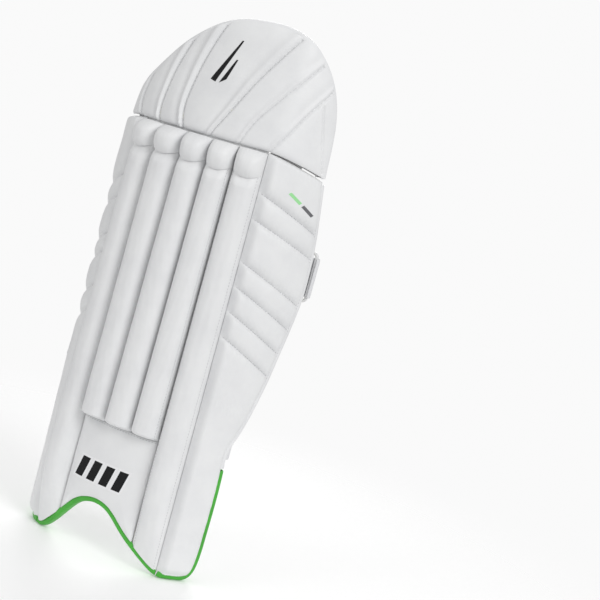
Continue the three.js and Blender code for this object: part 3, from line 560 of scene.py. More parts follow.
def stitches(name, pts, nrm, mat, body, slot_name, pitch=4.2, length=2.7, rad=0.38, sink=0.12):
    """Thread stitches along a 3-D path in metres, one small rounded bar each."""
    pts, nrm = np.asarray(pts, float), np.asarray(nrm, float)
    both = resample(np.hstack([pts * 1000, nrm]), pitch)
    c, nn = both[:, :3], both[:, 3:]
    t = np.gradient(c, axis=0)
    t /= np.linalg.norm(t, axis=1)[:, None] + 1e-9
    nn = nn - (nn * t).sum(1)[:, None] * t
    nn /= np.linalg.norm(nn, axis=1)[:, None] + 1e-9
    bb = np.cross(t, nn)
    V, F = [], []
    prof = [(-0.5, 0.15), (-0.42, 0.75), (-0.2, 1.0), (0.2, 1.0), (0.42, 0.75), (0.5, 0.15)]
    M = 6
    for q in range(len(c)):
        base = len(V)
        for l, r in prof:
            for m in range(M):
                a = math.tau * m / M
                V.append(c[q] + t[q] * l * length + bb[q] * math.cos(a) * rad * r + nn[q] * (math.sin(a) * rad * r * 0.8 + sink))
        for k in range(len(prof) - 1):
            for m in range(M):
                m2 = (m + 1) % M
                F.append([base + k * M + m, base + k * M + m2, base + (k + 1) * M + m2, base + (k + 1) * M + m])
        F.append([base + m for m in range(M)])
        F.append([base + (len(prof) - 1) * M + m for m in range(M - 1, -1, -1)])
    ob = new_object(name, np.array(V) / 1000.0, F, mat, sharp=80)
    return place(ob, body, slot_name)


def surf_path(path, nfun, lean=False, step=2.0, lift=0.0):
    """3-D points and normals of a path drawn on a surface n(s, z)."""
    p = resample(path, step)
    s, z = p[:, 0], p[:, 1]
    n = nfun(s, z) + lift
    X = P(s, z, n, lean)
    e = 0.4
    du = P(s + e, z, nfun(s + e, z) + lift, lean) - P(s - e, z, nfun(s - e, z) + lift, lean)
    dv = P(s, z + e, nfun(s, z + e) + lift, lean) - P(s, z - e, nfun(s, z - e) + lift, lean)
    N = np.cross(du, dv)
    N /= np.linalg.norm(N, axis=1)[:, None] + 1e-12
    return X, N


def decal(name, poly, nfun, mat, body, slot_name, lean=False, lift=0.22, thick=0.25, cell=3.0, flip=False):
    """A thin printed shape that follows a surface; poly is in (s, z)."""
    bm = bmesh.new()
    vs = [bm.verts.new((x, y, 0)) for x, y in poly]
    bm.faces.new(vs)
    bmesh.ops.triangulate(bm, faces=bm.faces[:])
    for _ in range(7):
        long = [e for e in bm.edges if e.calc_length() > cell]
        if not long:
            break
        bmesh.ops.subdivide_edges(bm, edges=long, cuts=1)
        bmesh.ops.triangulate(bm, faces=[f for f in bm.faces if len(f.verts) > 3])
    bm.verts.ensure_lookup_table()
    s = np.array([v.co.x for v in bm.verts]); z = np.array([v.co.y for v in bm.verts])
    n = nfun(s, z)
    sign = -1 if flip else 1
    F = P(s, z, n + sign * lift, lean)
    B = P(s, z, n + sign * (lift - thick), lean)
    bm.verts.index_update()
    tris = [[v.index for v in f.verts] for f in bm.faces]
    rim = [[v.index for v in e.verts] for e in bm.edges if e.is_boundary]
    N = len(s)
    faces = tris + [[i + N for i in reversed(t)] for t in tris] + [[a, b, b + N, a + N] for a, b in rim]
    bm.free()
    ob = new_object(name, np.vstack([F, B]), faces, mat, sharp=40)
    return place(ob, body, slot_name)


# thread where the outer channels are stitched down
for nm, XX, NN in roll_stitches:
    stitches(nm, XX, NN, M_THREAD, "shin", "facing", pitch=4.0, length=2.4, rad=0.36, sink=0.1)
def flat_n(v):
    return lambda s, z: np.full(np.shape(s), float(v))


# ------------------------------------------------------------------ instep panel
SI = 56.3


def instep_n(s, z):
    s, z = np.asarray(s, float), np.asarray(z, float)
    zb = z_bottom_in(s)
    e = np.minimum(SI - np.abs(s), np.minimum(ZI - 0.6 - z, (z - zb)))
    e = np.maximum(e, 0)
    puff = 1 - np.exp(-e / 9.0)
    return 2.5 + 3.4 * np.minimum(1, e / 1.6) ** 0.5 + 4.4 * puff + 0.28 * wavy(s, z, 5, 46) * puff + 0.3 * np.exp(-np.maximum(ZI - z, 0) / 5) * np.sin(s / 7.4 * math.tau) * np.minimum(1, e / 2)


u = np.linspace(0, 1, 90)
SS = -SI + 2 * SI * u
v = 0.5 - 0.5 * np.cos(np.pi * np.linspace(0, 1, 80))
S = np.repeat(SS[:, None], 80, 1)
Z = z_bottom_in(SS)[:, None] + (ZI - 0.6 - z_bottom_in(SS))[:, None] * v[None, :]
ob = slab("instep_pad", S, Z, instep_n(S, Z), 2.3, M_WHITE)
place(ob, "shin", "facing", "instep_panel")
X, N = surf_path([[-SI + 3, ZI - 3.4], [SI - 3, ZI - 3.4]], instep_n)
stitches("instep_stitching", X, N, M_THREAD, "shin", "facing")

# ------------------------------------------------------------------ wings
def seam_row(side, za, ze):
    rear = REAR[side]
    ae = np.interp(ze, rear[:, 1], rear[:, 0])
    return lambda a: lerp(za, ze, (a - HALF) / (ae - HALF))


WING = {}


def wing(side, seams, body):
    rear = REAR[side]
    sg = side
    name = body
    bot = BOT[BOT[:, 0] > HALF - 6] if side > 0 else (BOT[BOT[:, 0] < -HALF + 6] * [-1, 1])[::-1]
    outline = np.vstack([bot, rear[1:]])
    rows_f = [seam_row(side, za, ze) for za, ze in seams]
    top = lambda a: z_knee(sg * np.asarray(a, float)) - 0.6

    def rear_a(z):
        return np.interp(z, rear[:, 1], rear[:, 0])

    # rows from the bottom up: the key lines and the steps between them
    def bottom(a):
        z = z_bottom(sg * np.minimum(a, 111)) + 6.0
        lim = rear_a(z) - 5.2
        return z + np.maximum(0, a - lim) * 1.2
    keys = [bottom, lambda a: 30 + 0 * a, lambda a: 90 + 0 * a, lambda a: 150 + 0 * a, lambda a: lerp(190, 178, (a - HALF) / 60), lambda a: lerp(240, 208, (a - HALF) / 80)] + rows_f + [top]
    subs = [12, 14, 14, 10, 14, 22] + [15] * (len(rows_f) - 1) + [34]
    rows, band, frac = [], [], []
    for k in range(len(keys) - 1):
        for q in range(subs[k]):
            g = q / subs[k]
            if k >= 5:
                g = 0.5 - 0.5 * math.cos(math.pi * g)
            rows.append((lambda a, k=k, g=g: lerp(keys[k](a), keys[k + 1](a), g))); band.append(k); frac.append(g)
    rows.append(top); band.append(len(keys) - 2); frac.append(1.0)
    aa = np.arange(HALF + 20, 210, 0.25)
    S, Z = [], []
    C = 72 if side > 0 else 50
    cols = np.linspace(0, 1, C)
    cols = cols ** 1.0
    for r in rows:
        z = r(aa)
        ok = (dist_to(outline[::2], aa, z) >= 5.0) & (aa < rear_a(z) - 4.6)
        bad = np.argmax(~ok) if (~ok).any() else len(aa)
        ae = aa[max(bad - 1, 0)]
        a = HALF + 0.35 + (ae - HALF - 0.35) * cols
        S.append(a); Z.append(r(a))
    S, Z = np.array(S).T, np.array(Z).T
    band, frac = np.array(band), np.array(frac)

    edge = S[-1][None, :] - S
    front = S - S[0][None, :]
    seam_i = 5
    puff = np.where(band >= seam_i, np.sin(np.pi * frac) ** 0.55, 0.55)
    puff = np.where(band == seam_i, np.where(frac < 0.5, 0.55 + 0.45 * np.sin(np.pi * frac), np.sin(np.pi * frac) ** 0.55), puff)
    puff = np.where(band == len(keys) - 2, np.minimum(1, np.where(frac < 0.5, np.sin(np.pi * frac) ** 0.55, np.maximum(0.12, (1 - ((frac - 0.5) * 2) ** 5)))), puff)
    puff = puff[None, :] * np.ones_like(S)
    lowend = smoothstep((Z - Z[:, :1]) / 10.0)
    lowk = np.array([keys[k](S[:, j]) for j, k in enumerate(band)]).T
    upk = np.array([keys[k + 1](S[:, j]) for j, k in enumerate(band)]).T
    d_low, d_up = np.maximum(Z - lowk, 0) * 0.93, np.maximum(upk - Z, 0) * 0.93
    lo_s = 1 - 0.92 * np.exp(-(d_low / (5.2 if side > 0 else 7.0)) ** 1.25)
    up_s = 1 - 0.92 * np.exp(-(d_up / (2.3 if side > 0 else 4.0)) ** 1.1)
    last = len(keys) - 2
    puff = np.where(band[None, :] < seam_i, 0.92, np.where(band[None, :] == seam_i, up_s * 0.92, np.where(band[None, :] == last, lo_s * (1 - 0.85 * np.exp(-(d_up / 1.8) ** 1.2)), lo_s * up_s)))
    tilt = np.where(band[None, :] >= seam_i, 0.9 * (d_up / (d_low + d_up + 1e-6) - 0.5), 0.0)
    w = (1 - np.exp(-edge / 4.0)) * (0.10 + 0.90 * smoothstep(front / 11.0))
    n = 3.0 + (7.6 if side > 0 else 9.0) * puff * w * (0.25 + 0.75 * lowend) + 0.9 * (1 - np.exp(-front / 2.0)) + tilt * w
    # puckers run out of every stitched groove
    groove = np.minimum(frac, 1 - frac) * 30
    along = S * 1.05
    pk = 0.35 * np.exp(-groove[None, :] / 4.5) * np.where(band >= seam_i, 1, 0)[None, :] * np.sin(along / 6.3 * math.tau + 1.8 * wavy(S, Z, 91 + side, 35))
    n = n + pk * w + 0.35 * wavy(S, Z, 17 + side, 60) * w + 0.12 * wavy(S, Z, 27 + side, 18) * w
    WING[side] = dict(S=S, Z=Z, n=n, keys=keys)
    from_s = np.array([S, Z, n])
    ob = slab(name + "_facing", sg * S, Z, n, n - 1.15, M_WHITE)
    place(ob, body, "facing", name + "_cover")
    sub = (slice(None, None, 3), slice(None, None, 2))
    low_rows = np.where((band < last) | (frac < 0.55))[0][::2]
    fsub = np.ix_(np.arange(0, S.shape[0], 3), low_rows)
    nn = n[fsub]
    ob = slab(name + "_foam_core", sg * S[fsub], Z[fsub], np.maximum(nn - 1.9, -1.5), -2.7, M_FOAM)
    place(ob, body, "foam", name + "_foam")
    nn = n[sub]
    ob = slab(name + "_inner_lining", sg * S[sub], Z[sub], -3.6 + 0 * nn, -5.1 + 0.16 * wavy(S[sub], Z[sub], 7, 40), M_LINING)
    place(ob, body, "lining", name + "_lining")
    return outline, keys


def n_on_wing(side):
    from_w = WING[side]
    pts = np.stack([from_w["S"].ravel(), from_w["Z"].ravel()], -1)
    val = from_w["n"].ravel()
    from mathutils.kdtree import KDTree
    kd = KDTree(len(pts))
    for i, p in enumerate(pts):
        kd.insert((p[0], p[1], 0), i)
    kd.balance()

    def f(s, z):
        s, z = np.broadcast_arrays(np.asarray(s, float), np.asarray(z, float))
        out = np.empty(s.size)
        for q, (a, b) in enumerate(zip(np.abs(s).ravel(), z.ravel())):
            near = kd.find_n((a, b, 0), 4)
            wsum = sum(1 / (d + 1e-3) for _, _, d in near)
            out[q] = sum(val[i] / (d + 1e-3) for _, i, d in near) / wsum
        return out.reshape(s.shape)
    return f


def binding(name, path, body, mat, slot_name, nodes, nf=4.6, nb=-5.3, width=8.0, lean=False, side=1, mirror=False, stitch_mat=None, thick=0.9, wavez=0.0):
    """A folded tape round an edge: path runs with the pad on its left (side=1) or right (-1), in (s, z)."""
    path = resample(path, 3.0)
    t = np.gradient(path, axis=0)
    t /= np.linalg.norm(t, axis=1)[:, None]
    inn = np.stack([-t[:, 1], t[:, 0]], -1) * side
    mid = (nf + nb) / 2
    hf = (nf - nb) / 2
    prof = []
    # outside skin, from the front lip round the edge to the back lip
    prof += [(width, nf + 0.15), (width - 0.5, nf + 0.75), (width * 0.55, nf + 0.95), (2.6, nf + 0.8)]
    for a in np.linspace(math.radians(65), math.radians(-65), 9):
        prof.append((2.2 - 2.2 * math.cos(a) , mid + (hf + 0.55) * math.sin(a) / math.sin(math.radians(65)) * 0.97))
    prof += [(2.6, nb - 0.55), (width * 0.55, nb - 0.7), (width - 0.5, nb - 0.5), (width, nb + 0.05)]
    # inside skin back to the front lip
    prof += [(width - 0.3, nb + 0.25), (3.2, nb + 0.3), (1.9, mid), (3.2, nf - 0.3), (width - 0.3, nf - 0.25)]
    rings = []
    for i, (p, q) in enumerate(zip(path, inn)):
        d = np.array([c[0] for c in prof]); n = np.array([c[1] for c in prof])
        d = d + 0.18 * math.sin(i * 1.7) * (np.arange(len(prof)) < 2)
        s, z = p[0] + q[0] * d, p[1] + q[1] * d
        if slot_name == "green_binding":
            # each tape ends square on its own side of the crease
            s = np.clip(s, -HALF + 0.4, HALF - 0.4) if body == "shin" else np.maximum(s, HALF + 0.4)
        rings.append(P((-s if mirror else s), np.maximum(z, 0.0), n, lean))
    ob = sweep(name, rings, mat, sharp=60)
    place(ob, body, slot_name, *nodes)
    lip = path + inn * (width - 1.6)
    for tag, nn, sgn in (("front", nf + 0.86, 1), ("back", nb - 0.62, -1)):
        s, z = lip[:, 0], lip[:, 1]
        if slot_name == "green_binding":
            keep = np.abs(s) < HALF - 8 if body == "shin" else s > HALF + 8
            s, z = s[keep], z[keep]
        s = -s if mirror else s
        X = P(s, z, nn, lean)
        _, _, nx, ny, _, _ = plan(s)
        N = np.stack([nx, ny, 0 * nx], -1) * sgn
        stitches(f"{name}_stitching_{tag}", X, N, stitch_mat or M_THREAD, body, slot_name, pitch=3.8, length=2.4, rad=0.3, sink=0.1)
    return ob


GREEN_Z = 152.0
for side, body in ((1, "outer_wing"), (-1, "inner_wing")):
    outline, keys = wing(side, OUTER_SEAMS if side > 0 else INNER_SEAMS, body)
    rear = REAR[side]
    low = outline[(outline[:, 0] > HALF + 0.6) & ((outline[:, 1] < GREEN_Z) )]
    low = low[np.concatenate([[True], np.diff(low[:, 1]) > -5])]
    low = np.vstack([[HALF + 0.5, float(z_bottom(side * (HALF + 0.5)))], low])
    binding(body + "_green_binding", low, body, M_GREEN, "green_binding", [body + "_hem"], mirror=side < 0, stitch_mat=M_GTHREAD)
    zt = float(z_knee(side * rear[-1, 0])) - 2.0
    up = rear[(rear[:, 1] > GREEN_Z + 0.4)]
    up = np.vstack([up, [rear[-1, 0] - 0.3, zt]])
    binding(body + "_white_binding", up, body, M_WHITE2, "facing", [body + "_binding"], mirror=side < 0)

NW = {1: n_on_wing(1), -1: n_on_wing(-1)}
for side, body, seams in ((1, "outer_wing", OUTER_SEAMS), (-1, "inner_wing", INNER_SEAMS)):
    W = WING[side]
    for k, (za, ze) in enumerate(seams):
        f = seam_row(side, za, ze)
        a0, a1 = HALF + 5, float(np.interp(ze, REAR[side][:, 1], REAR[side][:, 0])) - 9
        a = np.linspace(a0, a1, 50)
        X, N = surf_path(np.stack([side * a, f(a)], -1), lambda s, z: NW[side](s, z), step=2.5, lift=0.1)
        if side < 0:
            N = N
        stitches(f"{body}_channel_stitching_{k+1}", X, N, M_THREAD, body, "facing", pitch=4.0, length=2.6, rad=0.34, sink=0.05)

# ------------------------------------------------------------------ shin lining, board edge binding
cols = np.linspace(-HALF + 0.4, HALF - 0.4, 110)
vv = np.linspace(0, 1, 120)
S = np.repeat(cols[:, None], 120, 1)
Z = z_bottom_in(cols)[:, None] + (551.0 - z_bottom_in(cols))[:, None] * vv[None, :]


def lining_n(s, z):
    s, z = np.asarray(s, float), np.asarray(z, float)
    seam = np.exp(-((s - 33 - (z - 70) * 0.02) / 1.2) ** 2) * (z < 160)
    return -5.0 + 0.9 * seam - 0.22 * wavy(s, z, 61, 55)


ob = slab("shin_inner_lining", S, Z, -3.6, lining_n(S, Z), M_LINING)
place(ob, "shin", "lining", "shin_lining")
zz = np.linspace(66, 143, 40)
s_seam = 33 + (zz - 70) * 0.02 + 2.6
X = P(s_seam, zz, lining_n(s_seam, zz) - 0.1)
_, _, nx, ny, _, _ = plan(s_seam)
stitches("lining_seam_stitching", X, -np.stack([nx, ny, 0 * nx], -1), M_THREAD, "shin", "lining", pitch=3.6, length=2.3, rad=0.28)
arch = BOT[(BOT[:, 0] > -HALF + 0.6) & (BOT[:, 0] < HALF - 0.6)]
arch = np.vstack([[-HALF + 0.5, float(z_bottom(-HALF + 0.5))], arch, [HALF - 0.5, float(z_bottom(HALF - 0.5))]])
binding("instep_green_binding", arch, "shin", M_GREEN, "green_binding", ["instep_binding"], stitch_mat=M_GTHREAD)

# ------------------------------------------------------------------ top hat
TH = [
    [(-92, 553), (-97, 575), (-95, 600), (-88, 622)],
    [(-57, 553), (-60, 575), (-56, 612), (-46, 650), (-38, 674)],
    [(-19, 553), (-25, 580), (-20, 625), (-10, 665), (2, 700)],
    [(19, 553), (24, 564), (36, 588), (56, 630), (77, 667), (98, 702)],
    [(57, 553), (69, 584), (92, 620), (115, 657), (132, 678)],
    [(95, 553), (111, 585), (129, 616), (150, 646)],
    [(168, 544), (160, 566), (150, 595), (141, 622)],
]
TH = [catmull(p, 3.0) for p in TH]


def hat_n(s, z):
    s, z = np.asarray(s, float), np.asarray(z, float)
    e = dist_to(HATP[::2], s, z)
    eb = np.maximum(z - z_knee(s), 0)
    n = 9.6 + 0 * s
    dmin = np.full(s.shape, 1e9)
    for k, p in enumerate(TH):
        d, al = dist_to(p, s, z, signed=True)
        f = np.clip(al / 140, 0, 1)
        w = (5.0 + 7.5 * f) if k in (1, 2, 3) else (4.0 + 3.5 * f)
        amp = [1.2, 2.5, 2.6, 2.4, 1.3, 1.2, 0.7][k]
        n = n - (3.0 if k < 4 else 2.0) * np.exp(-(d / 1.5) ** 2)
        n = n + amp * np.exp(-(((d + 0.62 * w) / (0.45 * w)) ** 2) * 1.2)
        n = n - 0.38 * amp * np.exp(-((d + 1.55 * w) / (0.55 * w)) ** 2)
        n = n + 0.22 * np.sin(al / 7.0 * math.tau + k) * np.exp(-np.abs(d) / 3.5) * (1 if k in (4, 5) else 0.5)
        dmin = np.minimum(dmin, np.abs(d))
    n = n + 1.5 * (1 - np.exp(-dmin / 13.0)) - 0.8
    n = n + 0.35 * wavy(s, z, 33, 75) + 0.12 * wavy(s, z, 35, 24)
    # the face turns down to the binding and into the knee seam
    n = n - 4.6 * np.exp(-e / 6.5) - 6.0 * np.exp(-eb / 2.2)
    return np.maximum(n, 2.2)


left_b, right_b = HATP[0, 0] + 4.0, HATP[-1, 0] - 4.0
inset = offset_path(HATP, -4.0)
IN = 210
ii = np.linspace(0, len(inset) - 1, 400)
ins = np.stack([np.interp(ii, np.arange(len(inset)), inset[:, 0]), np.interp(ii, np.arange(len(inset)), inset[:, 1])], -1)
iL, iR = int(0.085 * 400), int(0.80 * 400)
top_line = resample(ins[iL:iR], 1.5)
IN = len(top_line)
JN = 96
fr = 0.5 - 0.5 * np.cos(np.pi * np.linspace(0, 1, JN)) * 1.0
fr = lerp(np.linspace(0, 1, JN), fr, 0.6)
base_s = np.linspace(left_b, right_b, IN)
def knee_room(s):
    # the seam opens a little towards the rear, so that the hat can rock back
    s = np.atleast_1d(np.asarray(s, float))
    y = np.array([float(plan(float(v))[1]) for v in s.ravel()]).reshape(s.shape)
    return np.maximum(0, y - 10) * 0.042


room_l, room_r = float(knee_room(left_b)[0]), float(knee_room(right_b)[0])
zb_hat = z_knee(base_s) + 0.25 + knee_room(base_s)
left_curve = resample(np.vstack([[left_b, z_knee(left_b) + 0.5 + room_l], ins[:iL + 1][ins[:iL + 1, 1] > z_knee(left_b) + 3 + room_l]]), 0.5)
right_curve = resample(np.vstack([ins[iR - 1:][ins[iR - 1:, 1] > z_knee(right_b) + 3 + room_r], [right_b, z_knee(right_b) + 0.5 + room_r]])[::-1], 0.5)


def at(curve, f):
    i = f * (len(curve) - 1)
    return np.stack([np.interp(i, np.arange(len(curve)), curve[:, 0]), np.interp(i, np.arange(len(curve)), curve[:, 1])], -1)


LC, RC = at(left_curve, fr), at(right_curve, fr)
uu = np.linspace(0, 1, IN)[:, None]
bottom_pts = np.stack([base_s, zb_hat], -1)
# transfinite interpolation of the four edges
S = np.zeros((IN, JN)); Z = np.zeros((IN, JN))
for c, G in ((0, S), (1, Z)):
    Cb, Ct = bottom_pts[:, c][:, None], top_line[:, c][:, None]
    Dl, Dr = LC[:, c][None, :], RC[:, c][None, :]
    F_ = fr[None, :]
    G[:] = (1 - F_) * Cb + F_ * Ct + (1 - uu) * Dl + uu * Dr - ((1 - uu) * (1 - F_) * Cb[0] + uu * (1 - F_) * Cb[-1] + (1 - uu) * F_ * Ct[0] + uu * F_ * Ct[-1])
HN = hat_n(S, Z)
ob = slab("top_hat_facing", S, Z, HN, HN - 1.2, M_WHITE, lean=True)
place(ob, "top_hat", "facing", "top_hat_cover")
q = (slice(None, None, 3), slice(None, None, 3))
Sq, Zq, Nq = S[q], np.maximum(Z[q], z_knee(S[q]) + 3.0 + knee_room(S[q])), HN[q]
ob = slab("top_hat_foam_core", Sq, Zq, np.maximum(Nq - 2.6, -1.0), -2.8, M_FOAM, lean=True)
place(ob, "top_hat", "foam", "top_hat_foam")


def hat_back_n(s, z):
    return -5.0 + 0.25 * wavy(s, z, 77, 60)


ob = slab("top_hat_inner_lining", S[q], Z[q], -3.6, hat_back_n(S[q], Z[q]), M_LINING, lean=True)
place(ob, "top_hat", "lining", "top_hat_lining")
hp = HATP.copy()
hp[0, 1] = z_knee(hp[0, 0]) + 1.5 + float(knee_room(hp[0, 0])[0])
hp[-1, 1] = z_knee(hp[-1, 0]) + 1.5 + float(knee_room(hp[-1, 0])[0])
binding("top_hat_edge_binding", hp, "top_hat", M_WHITE2, "facing", ["top_hat_binding"], nf=5.4, nb=-5.4, width=8.5, lean=True, side=-1)
for k, p in enumerate(TH[:6]):
    pp = p[(dist_to(HATP[::2], p[:, 0], p[:, 1]) > 9) & (p[:, 1] > z_knee(p[:, 0]) + 4)]
    if len(pp) > 4:
        X, N = surf_path(pp, hat_n, lean=True, step=3.0, lift=0.0)
        stitches(f"top_hat_seam_stitching_{k+1}", X, N, M_THREAD, "top_hat", "facing", pitch=4.0, length=2.6, rad=0.34, sink=0.05)

# gussets: strips across the knee seam and the wing creases that fill the gaps between the bodies
g = np.linspace(-HALF + 1, HALF - 1, 120)
vz = np.linspace(0, 1, 14)
S = np.repeat(g[:, None], 14, 1)
Z = 541.0 + (562.0 - 541.0) * vz[None, :] + 0 * S
ob = slab("knee_seam_gusset_front", S, Z, 2.3 - 0.6 * np.sin(np.pi * vz)[None, :], 1.75 - 0.6 * np.sin(np.pi * vz)[None, :], M_WHITE2, lean=True)
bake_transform(ob)
S = np.repeat(np.linspace(-HALF + 14, HALF - 1, 120)[:, None], 14, 1)
ob = slab("knee_seam_gusset_back", S, 538 + (566 - 538) * vz[None, :] + 0 * S, -5.25 + 0 * S, -5.75 - 0.25 * np.sin(np.pi * vz)[None, :], M_LINING, lean=True)
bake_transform(ob)
for side, body in ((1, "outer_wing"), (-1, "inner_wing")):
    a_end = min(REAR[side][-1, 0] - (16 if side > 0 else 26), HALF + 48)
    a = np.linspace(HALF + 2, a_end, 60)
    depth = np.interp(a, [HALF, HALF + 25, 180], [7, 12, 20])
    S = side * np.repeat(a[:, None], 10, 1)
    Z = (z_knee(side * a) - depth)[:, None] + (depth + 7)[:, None] * np.linspace(0, 1, 10)[None, :]
    gn = np.interp(a, [HALF, HALF + 30, HALF + 48], [0.4, 0.0, -1.0])[:, None] + 0 * S
    ob = slab(body + "_knee_gusset", S, Z, gn, gn - 0.35, M_LINING)
    place(ob, "top_hat", "lining")
    sg0, sg1 = side * (HALF - 3.0), side * (HALF + 4.0)
    x0, y0 = plan(sg0)[:2]; x1, y1 = plan(sg1)[:2]
    zt0 = 548.0
    s7 = np.linspace(sg0, sg1, 12)
    zlow = z_bottom(s7) + 6
    J = 60
    S = np.repeat(s7[:, None], J, 1)
    Z = zlow[:, None] + (zt0 - zlow)[:, None] * np.linspace(0, 1, J)[None, :]
    for tag, nf, nb, mt, sl in (("front", 2.2, 1.75, M_WHITE2, "facing"), ("back", -5.35, -5.9, M_LINING, "lining")):
        ob = slab(f"{body}_crease_gusset_{tag}", S, Z, nf, nb, mt)
        c0, c1 = P(sg0, 300, 0), P(sg1, 300, 0)
        rise = P(side * HALF, 500, 0) - P(side * HALF, 100, 0)
        across = c1 - c0
        c1 = c0 + across - rise * (across @ rise) / (rise @ rise)
        c0, c1 = tuple(c0), tuple(c1)
        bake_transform(ob)
        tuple(c0)
        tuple(c1)

# ------------------------------------------------------------------ cushions, by cloth simulation
def cushion(name, node_name):
    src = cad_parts[node_name]
    me = src.data.copy()
    ob = bpy.data.objects.new(name, me)
    bpy.context.scene.collection.objects.link(ob)
    bm = bmesh.new(); bm.from_mesh(me)
    bmesh.ops.remove_doubles(bm, verts=bm.verts, dist=1e-5)
    bm.to_mesh(me); bm.free()
    me.materials.clear()
    me.materials.append(M_CREAM)
    bpy.context.view_layer.objects.active = ob
    for o in bpy.context.selected_objects:
        o.select_set(False)
    ob.select_set(True)
    rm = ob.modifiers.new("remesh", "REMESH")
    rm.mode, rm.voxel_size = "VOXEL", 0.0045
    bpy.ops.object.modifier_apply(modifier=rm.name)
    # start a little slimmer, measured from the face that rests on the lining
    co = np.zeros(len(ob.data.vertices) * 3)
    ob.data.vertices.foreach_get("co", co)
    co = co.reshape(-1, 3)
    rest = co.copy()
    nrm = np.zeros(len(ob.data.vertices) * 3)
    ob.data.vertices.foreach_get("normal", nrm)
    co2 = co - nrm.reshape(-1, 3) * 0.0012
    ob.data.vertices.foreach_set("co", co2.ravel())
    cl = ob.modifiers.new("cloth", "CLOTH")
    st = cl.settings
    st.quality = 5
    st.mass = 0.3
    st.tension_stiffness = st.compression_stiffness = 25
    st.shear_stiffness = 15
    st.bending_stiffness = 1.2
    st.use_pressure = True
    st.uniform_pressure_force = 4.0
    st.effector_weights.gravity = 0.0
    cl.point_cache.frame_start, cl.point_cache.frame_end = 1, 20
    for fnum in range(1, 21):
        bpy.context.scene.frame_set(fnum)
    dg = bpy.context.evaluated_depsgraph_get()
    ev = ob.evaluated_get(dg)
    out = np.zeros(len(ev.data.vertices) * 3)
    ev.data.vertices.foreach_get("co", out)
    out = out.reshape(-1, 3)
    ob.modifiers.clear()
    mv = out - co2
    ln = np.linalg.norm(mv, axis=1)[:, None]
    mv = mv * np.minimum(1, 0.0065 / np.maximum(ln, 1e-9))
    co = co2 + mv
    bpy.context.scene.frame_set(1)
    # keep it off the lining: nothing goes further forward than the CAD pad's own front
    x, y = co[:, 0] * 1000 - OX, co[:, 1] * 1000 - OY
    r = np.hypot(x, 240 - y)
    th = np.arctan2(x, 240 - y)
    nval = r - 240                   # n of each point on the front arc
    nval = np.minimum(nval, -5.75)
    s_of = th * 240
    # soft lengthwise rolls and creases in the cloth
    nval = nval - 0.55 * wavy(s_of, co[:, 2] * 1000, 301 if "outer" in name else 302, 90) * (nval < -12) - 0.2 * wavy(s_of, co[:, 2] * 1000, 303, 28) * (nval < -9)
    co[:, 0] = (np.sin(th) * (240 + nval) + OX) / 1000
    co[:, 1] = (240 - np.cos(th) * (240 + nval) + OY) / 1000
    ob.data.vertices.foreach_set("co", co.ravel())
    ob.data.update()
    sb = ob.modifiers.new("sub", "SUBSURF")
    sb.levels = sb.render_levels = 1
    bpy.context.view_layer.objects.active = ob
    bpy.ops.object.modifier_apply(modifier=sb.name)
    ob.data.polygons.foreach_set("use_smooth", [True] * len(ob.data.polygons))
    while ob.data.uv_layers:
        ob.data.uv_layers.remove(ob.data.uv_layers[0])
    surface_uv(ob)
    place(ob, "shin", "cushion_fabric", node_name)
    return ob


cushion("calf_cushion_outer", "cushion_outer")
cushion("calf_cushion_inner", "cushion_inner")

# the wings' thinner cushions are shaped in code: rounded all round, with soft creases
for side, body, a0, a1, z0, z1 in ((1, "outer_wing", 96.6, 151.0, 231.0, 527.0), (-1, "inner_wing", 96.6, 133.0, 177.0, 527.0)):
    I, J = 44, 150
    uu2, vv2 = np.linspace(-1, 1, I), np.linspace(-1, 1, J)
    uu2, vv2 = np.sign(uu2) * np.abs(uu2) ** 0.8, np.sign(vv2) * np.abs(vv2) ** 0.85
    am, ah, zm, zh = (a0 + a1) / 2, (a1 - a0) / 2, (z0 + z1) / 2, (z1 - z0) / 2
    U, V2 = np.meshgrid(uu2, vv2, indexing="ij")
    # corners are cut round
    shrink = 1 - 0.16 * np.abs(V2) ** 16
    S, Z = am + ah * U * shrink, zm + zh * V2 * (1 - 0.03 * np.abs(U) ** 8)
    ex, ez = ah * (1 - np.abs(U)), zh * (1 - np.abs(V2))
    fill = (1 - np.exp(-ex / 4.2)) * (1 - np.exp(-ez / 5.0))
    fill = fill / fill.max()
    nb2 = -5.85 - 9.4 * fill ** 0.75 - (0.5 * wavy(S, Z, 611 + side, 85) + 0.22 * wavy(S, Z, 617 + side, 30)) * fill
    ob = slab(body + "_lining_cushion", side * S, Z, -5.8 + 0 * nb2, np.minimum(nb2, -5.84), M_CREAM)
    place(ob, body, "cushion_fabric", body + "_cushion")

# ------------------------------------------------------------------ centre strip
cols = np.linspace(-22.4, 22.4, 30)
S = np.repeat(cols[:, None], 90, 1)
Z = 151.0 + (551.0 - 151.0) * np.linspace(0, 1, 90)[None, :] + 0 * S


def strip_n(s, z):
    s, z = np.asarray(s, float), np.asarray(z, float)
    return -7.0 - 0.25 * wavy(s, z, 401, 50)


ob = slab("centre_lining_strip", S, Z, -5.6, strip_n(S, Z), M_LINING)
place(ob, "shin", "lining", "centre_strip")

